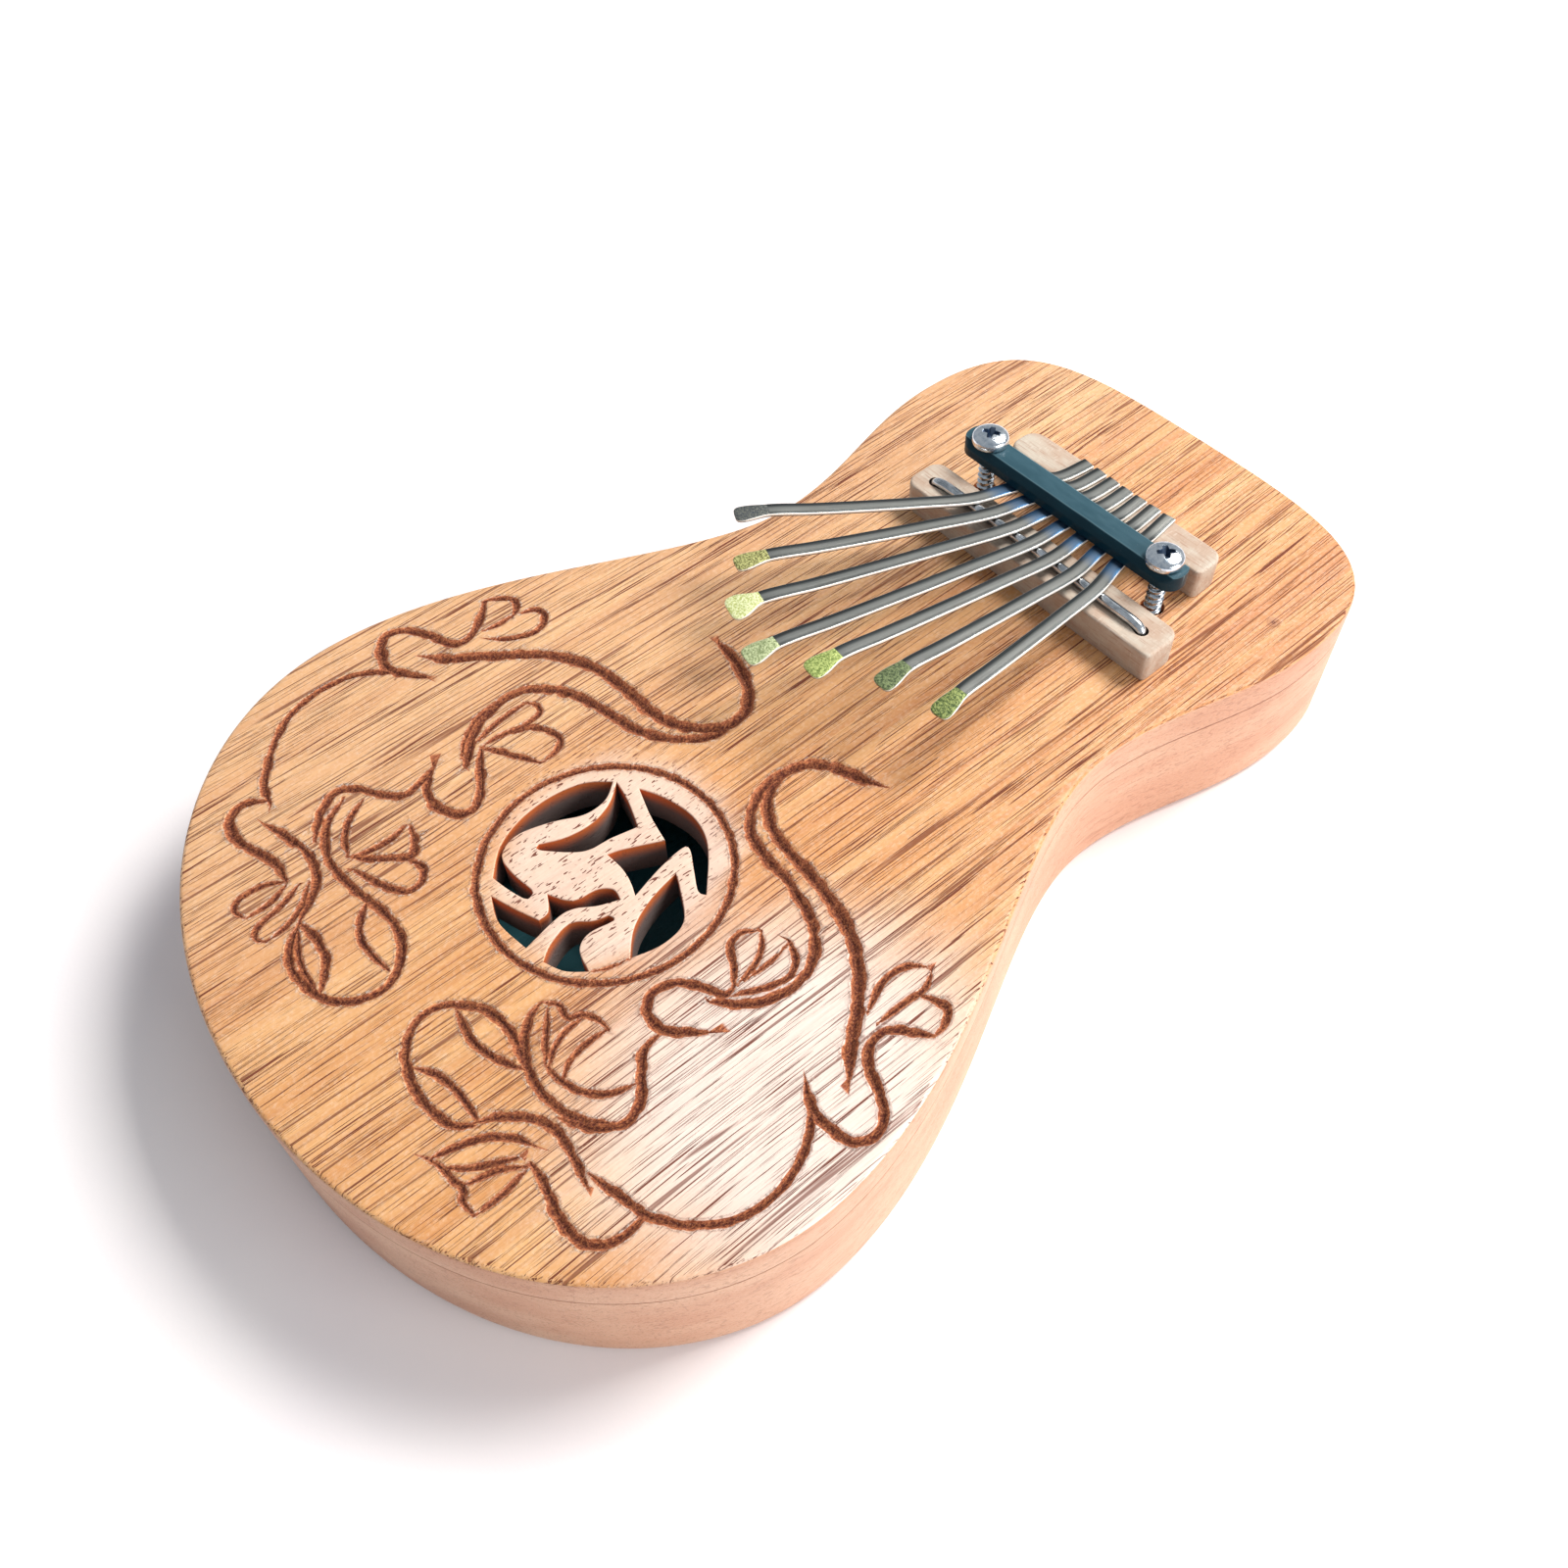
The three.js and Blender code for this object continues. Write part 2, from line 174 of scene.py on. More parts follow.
# ---- meshes ----
class Pieces:
    """Collects vertices, faces and per-vertex marks, in millimetres, for one object."""

    def __init__(self, *marks):
        self.points, self.faces = [], []
        self.marks = {mark: [] for mark in marks}

    def add(self, points, faces, **marks):
        start = len(self.points)
        self.points.extend(tuple(map(float, p)) for p in points)
        self.faces.extend(tuple(start + int(i) for i in face) for face in faces)
        for mark, values in self.marks.items():
            given = marks.get(mark, 0.0)
            values.extend(np.broadcast_to(np.asarray(given, float), (len(points),)).tolist())

    def rows(self, rows, closed=True, ends=False, **marks):
        """Joins rows of points with quads; the faces look out if rows go up on a left-hand loop."""
        count = len(rows[0])
        faces = []
        for r in range(len(rows) - 1):
            for i in range(count if closed else count - 1):
                j = (i + 1) % count
                faces.append((r * count + i, r * count + j, (r + 1) * count + j, (r + 1) * count + i))
        if ends:
            faces.append(tuple(reversed(range(count))))
            faces.append(tuple(range((len(rows) - 1) * count, len(rows) * count)))
        flat = {k: np.concatenate([np.broadcast_to(v, (count,)) for v in values])
                for k, values in marks.items()}
        self.add(np.vstack(rows), faces, **flat)

    def build(self, name, material, smooth=35):
        mesh = bpy.data.meshes.new(name)
        mesh.from_pydata([tuple(c * MM for c in p) for p in self.points], [], self.faces)
        for mark, values in self.marks.items():
            mesh.attributes.new(mark, "FLOAT", "POINT").data.foreach_set("value", values)
        tidy = bmesh.new()
        tidy.from_mesh(mesh)
        bmesh.ops.remove_doubles(tidy, verts=tidy.verts, dist=2e-6)
        bmesh.ops.recalc_face_normals(tidy, faces=tidy.faces)
        tidy.to_mesh(mesh)
        tidy.free()
        mesh.shade_smooth()
        mesh.set_sharp_from_angle(angle=math.radians(smooth))
        mesh.materials.append(material)
        thing = bpy.data.objects.new(name, mesh)
        bpy.context.scene.collection.objects.link(thing)
        return thing


def lifted(plan, height):
    """Plan points with their heights."""
    plan = np.asarray(plan, float)
    return np.column_stack([plan, np.broadcast_to(np.asarray(height, float), (len(plan),))])


def is_inside(points, loops):
    """Whether each plan point lies in the material that the loops bound."""
    inside = np.zeros(len(points), bool)
    x, y = points[:, 0], points[:, 1]
    for loop in loops:
        for (x0, y0), (x1, y1) in zip(loop, np.roll(loop, -1, 0)):
            if y0 != y1:
                crosses = (y0 > y) != (y1 > y)
                inside ^= crosses & (x < (x1 - x0) * (y - y0) / (y1 - y0) + x0)
    return inside


SLIVER = 1e-4                          # area below which a triangle only bridges a straight edge


def fill(loops, inner=None):
    """Triangles in the material that closed loops bound, through the given inner points as well."""
    points = np.vstack(loops if inner is None else loops + [inner])
    edges, start = [], 0
    for loop in loops:
        count = len(loop)
        edges += [(start + i, start + (i + 1) % count) for i in range(count)]
        start += count
    made = delaunay_2d_cdt([Vector(p) for p in points], edges, [], 0, 1e-5, False)
    plan = np.array([tuple(v) for v in made[0]])
    faces = np.array([list(face) for face in made[2]])
    a, b, c = (plan[faces[:, k]] for k in range(3))
    areas = ((b - a)[:, 0] * (c - a)[:, 1] - (b - a)[:, 1] * (c - a)[:, 0]) / 2
    kept = is_inside((a + b + c) / 3, loops) & (np.abs(areas) > SLIVER)
    return plan, faces[kept].tolist()


EDGE_STEPS = 5


def edge_rows(loop, top, radius, down):
    """Rows of a rounded edge, from the flat face to the wall.

    down is -1 for an edge below a top face and 1 for one above a bottom face.
    """
    left = left_of(loop)
    rows = []
    for k in range(EDGE_STEPS + 1):
        angle = math.pi / 2 * k / EDGE_STEPS
        inward = radius * (1 - math.sin(angle))
        rows.append(lifted(loop + left * inward, top + down * radius * (1 - math.cos(angle))))
    return rows


def plate(pieces, loops, bottom, top, edges, low_edges, inner=None, relief=None, wall_rows=4):
    """A flat plate with rounded edges. Edge radii come one per loop, and relief gives heights on its top."""
    flat_loops, low_loops = [], []
    for k, loop in enumerate(loops):
        upper = edge_rows(loop, top, edges[min(k, 1)], -1)
        lower = edge_rows(loop, bottom, low_edges[min(k, 1)], 1)
        flat_loops.append(upper[0][:, :2])
        low_loops.append(lower[0][:, :2])
        high, low = upper[-1][0, 2], lower[-1][0, 2]
        wall = [lifted(loop, high + (low - high) * i / wall_rows) for i in range(1, wall_rows)]
        rows = upper + wall + lower[::-1]
        inside = 1.0 if k else 0.0
        pieces.rows(rows[::-1], opening=[inside] * len(rows))
    plan, faces = fill(flat_loops, inner)
    heights = relief(plan) if relief else {"z": np.zeros(len(plan))}
    heights["z"][:sum(len(loop) for loop in flat_loops)] = 0.0     # the rims meet the rounded edges
    marks = {name: values for name, values in heights.items() if name != "z"}
    pieces.add(lifted(plan, top + heights["z"]), faces, **marks)
    plan, faces = fill(low_loops)
    pieces.add(lifted(plan, bottom), [face[::-1] for face in faces])


# ---- node materials ----
def colour(red, green, blue):
    """A linear colour from its usual 0 to 255 values."""
    def linear(value):
        value /= 255
        return value / 12.92 if value <= 0.04045 else ((value + 0.055) / 1.055) ** 2.4
    return linear(red), linear(green), linear(blue), 1.0


class Look:
    """One node material around a Principled shader."""

    def __init__(self, name, **shader):
        self.material = bpy.data.materials.new(name)
        self.material.use_nodes = True
        self.tree = self.material.node_tree
        self.shader = self.tree.nodes["Principled BSDF"]
        self.set(**shader)

    def set(self, **shader):
        for key, value in shader.items():
            self.feed(self.shader.inputs[key.replace("_", " ")], value)

    def feed(self, socket, value):
        if isinstance(value, bpy.types.NodeSocket):
            self.tree.links.new(value, socket)
        else:
            socket.default_value = value

    def add(self, kind, inputs=(), output=0, **settings):
        node = self.tree.nodes.new("ShaderNode" + kind)
        for key, value in settings.items():
            setattr(node, key, value)
        for key, value in dict(inputs).items():
            self.feed(node.inputs[key], value)
        return node.outputs[output]

    def place(self):
        """The point on the object, in millimetres."""
        point = self.add("TexCoord", output="Object")
        return self.add("VectorMath", {0: point, 3: 1 / MM}, operation="SCALE")

    def axes(self, vector):
        node = self.tree.nodes.new("ShaderNodeSeparateXYZ")
        self.feed(node.inputs[0], vector)
        return node.outputs

    def math(self, operation, a, b=0.0, c=0.0):
        return self.add("Math", {0: a, 1: b, 2: c}, operation=operation)

    def mark(self, name):
        return self.add("Attribute", output="Fac", attribute_name=name)

    def noise(self, vector, stretch=(1, 1, 1), detail=2.0, rough=0.5, warp=0.0):
        scaled = self.add("VectorMath", {0: vector, 1: stretch}, operation="MULTIPLY")
        return self.add("TexNoise", {"Vector": scaled, "Scale": 1.0, "Detail": detail,
                                     "Roughness": rough, "Distortion": warp})

    def band(self, value, low, high, start=0.0, end=1.0):
        """Goes smoothly from start to end as the value goes from low to high."""
        return self.add("MapRange", {0: value, 1: low, 2: high, 3: start, 4: end},
                        interpolation_type="SMOOTHSTEP")

    def mix(self, share, a, b):
        return self.add("Mix", {0: share, 6: a, 7: b}, output=2, data_type="RGBA")

    def distance(self, place, spot):
        return self.add("VectorMath", {0: place, 1: spot}, operation="DISTANCE", output="Value")

    def near(self, place, area, share, stray=None):
        """The share inside an area, fading to none outside; stray moves its rim in and out."""
        reach = self.distance(place, area["place"])
        if stray is not None:
            reach = self.math("ADD", reach, stray)
        return self.band(reach, area["reach"], area["reach"] + area["fade"], share, 0.0)

    def bump(self, *layers):
        """Bump from (height, depth in mm) pairs."""
        normal = None
        for height, depth in layers:
            inputs = {"Height": height, "Distance": depth * MM, "Strength": 1.0}
            if normal is not None:
                inputs["Normal"] = normal
            normal = self.add("Bump", inputs)
        self.set(Normal=normal)


# Inside the ring the pores are short instead of running on as long lines, and the wood there is painted pale
# as a painted sheen; SHEEN is a second patch of painted sheen towards the lower right.
RING_AREA = {"place": (3, -41, 29), "reach": 15, "fade": 9}
SHEEN = {"place": (52, -46, 29), "reach": 14, "fade": 28}
KNOT = (39.8, 76.5, 29.3)


def grain(look, place, long_step=(3.7, 0.05), amount=1.0):
    """Pore lines along Y as a 0 to 1 darkness, the fibre's light and dark, and the place bent by drift."""
    drift = look.noise(place, (0.02, 0.006, 0.02), detail=1)
    offset = look.add("CombineXYZ", {0: look.math("MULTIPLY", drift, 7.0)})
    place = look.add("VectorMath", {0: place, 1: offset}, operation="ADD")
    crowd = look.noise(place, (0.25, 0.01, 0.25), detail=2)
    limit = look.band(crowd, 0.32, 0.68, 0.665, 0.6)
    lines = look.noise(place, (long_step[0], long_step[1], long_step[0]), detail=1.2, rough=0.55)
    pores = look.band(look.math("SUBTRACT", lines, limit), 0.0, 0.03)
    hair = look.noise(place, (6.5, 0.07, 6.5), detail=1)
    pores = look.math("MAXIMUM", pores, look.band(hair, 0.63, 0.7, 0.0, 0.6))
    vein = look.noise(place, (0.5, 0.005, 0.5), detail=0.8, rough=0.6)
    broken = look.band(look.noise(place, (1.5, 0.03, 1.5), detail=1), 0.4, 0.52)
    vein = look.band(look.math("ABSOLUTE", look.math("SUBTRACT", vein, 0.5)), 0.006, 0.024, 0.8, 0.0)
    pores = look.math("MAXIMUM", pores, look.math("MULTIPLY", vein, broken))
    dashes = look.noise(place, (3.4, 0.7, 3.4), detail=0.5)
    short = look.band(dashes, 0.66, 0.72)
    nearby = look.near(place, RING_AREA, 1.0)
    pores = look.add("Mix", {0: nearby, 2: pores, 3: short}, data_type="FLOAT")
    fibre = look.noise(place, (5.0, 0.12, 5.0), detail=3, rough=0.6)
    return look.math("MULTIPLY", pores, amount), fibre, place


def board_wood():
    """Mahogany top: golden to russet bands, open dark pores, painted sheen patches, raw reddish cuts with
    painted shade at their bottoms and painted highlights on their lips, and scorched opening walls that go
    grey with painted shade deeper down.
    """
    look = Look("mahogany_top_wood", Roughness=0.45, Specular_IOR_Level=0.4)
    place = look.place()
    pores, fibre, warped = grain(look, place)
    x, y, z = look.axes(place)
    bands = look.noise(warped, (0.1, 0.006, 0.1), detail=3, rough=0.55)
    ribbons = look.noise(warped, (0.7, 0.012, 0.7), detail=3, rough=0.6)
    golden, amber, russet = colour(228, 176, 120), colour(212, 148, 90), colour(180, 104, 56)
    base = look.mix(look.band(bands, 0.3, 0.7), golden, amber)
    neck = look.band(y, -40, 40, 0.3, 0.6)
    base = look.mix(look.math("MULTIPLY", neck, look.band(ribbons, 0.38, 0.72)), base, russet)
    base = look.mix(look.band(x, 10, -40, 0.0, 0.4), base, colour(232, 192, 152))
    stray = look.math("MULTIPLY", look.math("SUBTRACT", bands, 0.5), 16)
    # painted sheen: pale patches painted on the top at SHEEN and inside the ring
    for area, share in ((SHEEN, 0.9), (RING_AREA, 0.6)):
        base = look.mix(look.near(place, area, share, stray), base, colour(242, 224, 214))
    base = look.mix(look.band(fibre, 0.3, 0.75, 0.0, 0.2), base, colour(150, 82, 44))
    # pale mottle all over the top: partly the wood's own mottle, partly painted glints of sheen
    mottle_and_glints = look.noise(place, (1.8, 1.2, 1.8), detail=4, rough=0.75)
    base = look.mix(look.band(mottle_and_glints, 0.42, 0.8, 0.0, 0.3), base, colour(250, 228, 208))
    knot = look.distance(place, KNOT)
    rings = look.band(look.math("SINE", look.math("MULTIPLY", knot, 7.0)), 0.0, 1.0, 0.35, 0.9)
    base = look.mix(look.math("MULTIPLY", rings, look.band(knot, 0.5, 1.5, 1.0, 0.0)), base,
                    colour(112, 58, 34))
    base = look.mix(look.math("MULTIPLY", pores, 0.95), base, colour(108, 48, 30))
    carve, lip = look.mark("carve"), look.mark("lip")
    speck = look.noise(place, (3.2, 1.6, 3.2), detail=4, rough=0.75)
    torn = look.math("SUBTRACT", speck, 0.5)
    cut = look.mix(look.band(speck, 0.4, 0.62), colour(146, 72, 42), colour(216, 132, 84))
    stain = look.math("MULTIPLY", lip, look.band(speck, 0.3, 0.55, 1.0, 0.35))
    base = look.mix(look.math("MULTIPLY", stain, 0.7), base, colour(158, 84, 50))
    base = look.mix(look.band(carve, 0.02, 0.25), base, cut)
    # darker at the bottom of each cut: painted shade in the groove
    painted_cut_shade = look.math("MULTIPLY", look.band(carve, 0.45, 1.0), look.band(speck, 0.38, 0.62, 1.0, 0.2))
    base = look.mix(look.math("MULTIPLY", painted_cut_shade, 0.85), base, colour(98, 40, 34))
    crumb = look.noise(place, (5.0, 3.0, 5.0), detail=3, rough=0.7)
    crumbs = look.math("MULTIPLY", look.band(carve, 0.1, 0.4), look.band(crumb, 0.62, 0.7))
    base = look.mix(look.math("MULTIPLY", crumbs, 0.75), base, colour(236, 184, 156))
    # near-white speckles on the torn lips beside the cuts: partly pale torn fibres, partly painted highlight
    fuzz_and_highlight = look.math("MULTIPLY", lip, look.band(speck, 0.5, 0.62))
    base = look.mix(look.math("MULTIPLY", fuzz_and_highlight, 0.95), base, colour(255, 242, 230))
    depth = look.math("SUBTRACT", BOARD_TOP, z)
    # opening walls: orange scorch near the top, going grey deeper down as painted shade
    scorch_and_shade = look.mix(look.band(depth, 0.5, 3.6), colour(204, 108, 58), colour(126, 112, 108))
    inside = look.math("MULTIPLY", look.mark("opening"), look.band(depth, 0.05, 0.4))
    base = look.mix(inside, base, scorch_and_shade)
    look.set(Base_Color=base)
    look.set(Roughness=look.band(look.math("ADD", carve, pores), 0.0, 1.0, 0.42, 0.85))
    look.bump((look.math("MULTIPLY", pores, -1.0), 0.14), (fibre, 0.06), (mottle_and_glints, 0.05),
              (look.math("MULTIPLY", torn, look.math("MAXIMUM", carve, lip)), 0.9))
    return look.material


def side_wood():
    """Sanded body sides: salmon wood with soft streaks, fine short pores and end grain at the ends; inside
    the chamber and screw holes a dark teal painted shade.
    """
    look = Look("mahogany_body_wood", Roughness=0.5, Specular_IOR_Level=0.4)
    place = look.place()
    pores, fibre, warped = grain(look, place, (2.2, 0.16), 0.5)
    bands = look.noise(warped, (0.07, 0.012, 0.12), detail=3)
    base = look.mix(look.band(bands, 0.3, 0.7), colour(222, 180, 150), colour(208, 156, 126))
    base = look.mix(look.band(fibre, 0.3, 0.75, 0.0, 0.2), base, colour(184, 116, 84))
    base = look.mix(look.math("MULTIPLY", pores, 0.6), base, colour(140, 80, 58))
    dots = look.noise(place, (1.6, 1.6, 3.4), detail=2, rough=0.7)
    base = look.mix(look.band(dots, 0.6, 0.68, 0.0, 0.4), base, colour(176, 98, 70))
    _, _, z = look.axes(place)
    seam = look.band(look.math("ABSOLUTE", look.math("SUBTRACT", z, GLUE_LINE)), 0.1, 0.24, 0.6, 0.0)
    base = look.mix(seam, base, colour(132, 72, 48))
    # inside the chamber and screw holes the wood is painted dark teal: painted shade standing in for the
    # shadow there
    inside = look.mark("opening")
    base = look.mix(inside, base, colour(44, 100, 110))
    look.set(Base_Color=base, Roughness=look.band(fibre, 0.2, 0.8, 0.42, 0.6))
    look.bump((look.math("MULTIPLY", pores, -1.0), 0.08), (fibre, 0.04))
    return look.material


def bridge_wood():
    """Bare pale hardwood: cream with faint brown flecks and saw marks, and painted shade in the wire's
    holes.
    """
    look = Look("pale_hardwood_wood", Roughness=0.62, Specular_IOR_Level=0.35)
    place = look.place()
    flecks = look.noise(place, (0.25, 3.4, 3.4), detail=3, rough=0.6)
    clouds = look.noise(place, (0.18, 0.3, 0.3), detail=3)
    marks = look.noise(place, (3.0, 0.7, 0.7), detail=2)
    base = look.mix(look.band(clouds, 0.3, 0.7), colour(198, 186, 170), colour(184, 158, 138))
    base = look.mix(look.band(flecks, 0.5, 0.72, 0.0, 0.6), base, colour(158, 116, 94))
    base = look.mix(look.band(marks, 0.55, 0.75, 0.0, 0.3), base, colour(226, 216, 202))
    # the wire's holes: painted shade
    hole = look.mark("opening")
    base = look.mix(look.math("MULTIPLY", hole, 0.85), base, colour(62, 38, 28))
    look.set(Base_Color=base)
    look.bump((flecks, 0.08), (marks, 0.06))
    return look.material


BLUE_REFLECTION_SPAN = (54.5, 61.5)                   # the stretch in front of the bar that gets a blue painted reflection
# The dark and the light of the mottled painted reflection on each tine's flattened tip, brightest on tine 3
# as a painted highlight.
TIP_REFLECTIONS = {1: ((62, 68, 74), (104, 106, 98)), 2: ((104, 102, 54), (200, 200, 130)),
          3: ((190, 198, 112), (246, 250, 200)), 4: ((134, 148, 100), (206, 216, 166)),
          5: ((116, 136, 64), (192, 206, 124)), 6: ((62, 78, 50), (130, 144, 98)),
          7: ((64, 84, 40), (148, 160, 92))}


def tine_steel(number):
    """Spring steel: dark faces brushed lengthwise, a painted highlight along the middle, a blue painted
    reflection in front of the bar, a painted highlight on the upper edges and painted shade on the lower
    ones, and a mottled painted reflection on the tip.
    """
    look = Look(f"spring_steel_tine_{number}", Metallic=1.0, Roughness=0.35)
    across = look.mark("across")
    along = look.add("CombineXYZ", {0: across, 1: look.mark("run")})
    scratches = look.noise(along, (9.0, 0.05, 1), detail=3, rough=0.7)
    clouds = look.noise(along, (0.8, 0.2, 1), detail=3)
    place = look.place()
    _, y, _ = look.axes(place)
    base = look.mix(look.band(scratches, 0.3, 0.7), colour(56, 62, 64), colour(96, 100, 100))
    base = look.mix(look.band(clouds, 0.4, 0.75, 0.0, 0.4), base, colour(74, 68, 64))
    # a lighter stripe along the middle of the top face, set off towards one side: painted highlight
    painted_highlight = look.band(look.math("ABSOLUTE", look.math("ADD", across, 0.15)), 0.2, 1.0, 0.65, 0.0)
    base = look.mix(painted_highlight, base, colour(182, 182, 176))
    # blue painted reflection in front of the bar
    blue_start = look.band(y, BLUE_REFLECTION_SPAN[0], BLUE_REFLECTION_SPAN[0] + 4)
    blue = look.math("MULTIPLY", blue_start, look.band(y, BLUE_REFLECTION_SPAN[1], BLUE_REFLECTION_SPAN[1] + 1, 1.0, 0.0))
    base = look.mix(look.math("MULTIPLY", blue, 0.7), base, colour(74, 124, 172))
    # the flattened tip: a mottled green painted reflection, set per tine
    tip = look.mark("tip")
    tip_mottle = look.noise(place, (2.6, 2.6, 2.6), detail=4, rough=0.7)
    dark, light = TIP_REFLECTIONS[number]
    painted_tip_reflection = look.mix(look.band(tip_mottle, 0.4, 0.6), colour(*dark), colour(*light))
    base = look.mix(tip, base, painted_tip_reflection)
    edge = look.mark("edge")
    # upper rounded edges: near-white painted highlight
    base = look.mix(look.band(edge, 0.1, 0.5), base, colour(250, 246, 240))
    # lower edges, marked under: painted shade
    base = look.mix(look.band(look.mark("under"), 0.5, 0.8, 0.0, 0.8), base, colour(44, 44, 42))
    bare = look.band(look.math("MAXIMUM", look.math("MULTIPLY", tip, 0.8), edge), 0.0, 1.0, 1.0, 0.25)
    look.set(Base_Color=base, Metallic=bare, Roughness=look.band(scratches, 0.2, 0.8, 0.26, 0.4))
    look.bump((scratches, 0.012), (look.math("MULTIPLY", tip_mottle, tip), 0.12))
    return look.material


def bar_paint():
    """Gloss black paint with a blue-green cast, a painted sheen on its flat top and a painted highlight
    along the ridges beside it, and specks of dust.
    """
    look = Look("black_bar_paint", Roughness=0.4, Specular_IOR_Level=0.2)
    place = look.place()
    wear = look.noise(place, (0.25, 0.9, 0.9), detail=3, rough=0.55)
    dust = look.noise(place, (3.0, 3.0, 3.0), detail=3, rough=0.8)
    base = look.mix(look.band(wear, 0.4, 0.7), colour(6, 44, 56), colour(8, 48, 60))
    # the flat top: painted sheen, lighter than the slanted sides
    painted_top_sheen = look.math("MULTIPLY", look.mark("top"), look.band(wear, 0.3, 0.7, 0.75, 1.0))
    base = look.mix(painted_top_sheen, base, colour(52, 84, 96))
    # ridges beside the flat top: painted highlight
    base = look.mix(look.math("MULTIPLY", look.mark("edge"), 0.6), base, colour(96, 126, 136))
    base = look.mix(look.band(dust, 0.7, 0.78), base, colour(170, 190, 196))
    look.set(Base_Color=base, Roughness=look.band(wear, 0.3, 0.7, 0.34, 0.4))
    look.bump((dust, 0.008))
    return look.material


def zinc_plate():
    """Bright zinc plate with soft stains, fine handling scratches, and dark blue painted shade in the cross
    recess and the thread's valleys.
    """
    look = Look("zinc_screw_plate", Metallic=1.0, Roughness=0.16)
    place = look.place()
    stain = look.noise(place, (0.9, 0.9, 0.9), detail=4, rough=0.65)
    scratch = look.noise(place, (0.6, 6.0, 6.0), detail=3, rough=0.7)
    base = look.mix(look.band(stain, 0.35, 0.7), colour(232, 236, 240), colour(186, 198, 210))
    # recesses and thread valleys: dark blue painted shade
    painted_recess_shade = look.mark("edge")
    base = look.mix(look.band(painted_recess_shade, 0.0, 0.4, 0.0, 0.85), base, colour(30, 66, 100))
    rough = look.math("ADD", look.band(scratch, 0.3, 0.7, 0.12, 0.24), look.math("MULTIPLY", painted_recess_shade, 0.25))
    look.set(Base_Color=base, Roughness=rough)
    look.bump((scratch, 0.015), (stain, 0.03))
    return look.material


def rod_steel():
    """Bright drawn wire with fine rings of draw marks."""
    look = Look("bright_wire_steel", Metallic=1.0, Roughness=0.2)
    place = look.place()
    draw = look.noise(place, (0.2, 7.0, 7.0), detail=3, rough=0.7)
    stain = look.noise(place, (0.5, 0.9, 0.9), detail=3)
    base = look.mix(look.band(stain, 0.35, 0.7), colour(216, 220, 224), colour(150, 156, 162))
    look.set(Base_Color=base, Roughness=look.band(draw, 0.3, 0.7, 0.14, 0.3))
    look.bump((draw, 0.006))
    return look.material


# ---- carving on the soundboard ----
ROSETTE = (3.4, -43.7)
RING = {"radius": 20.4, "width": 1.35}

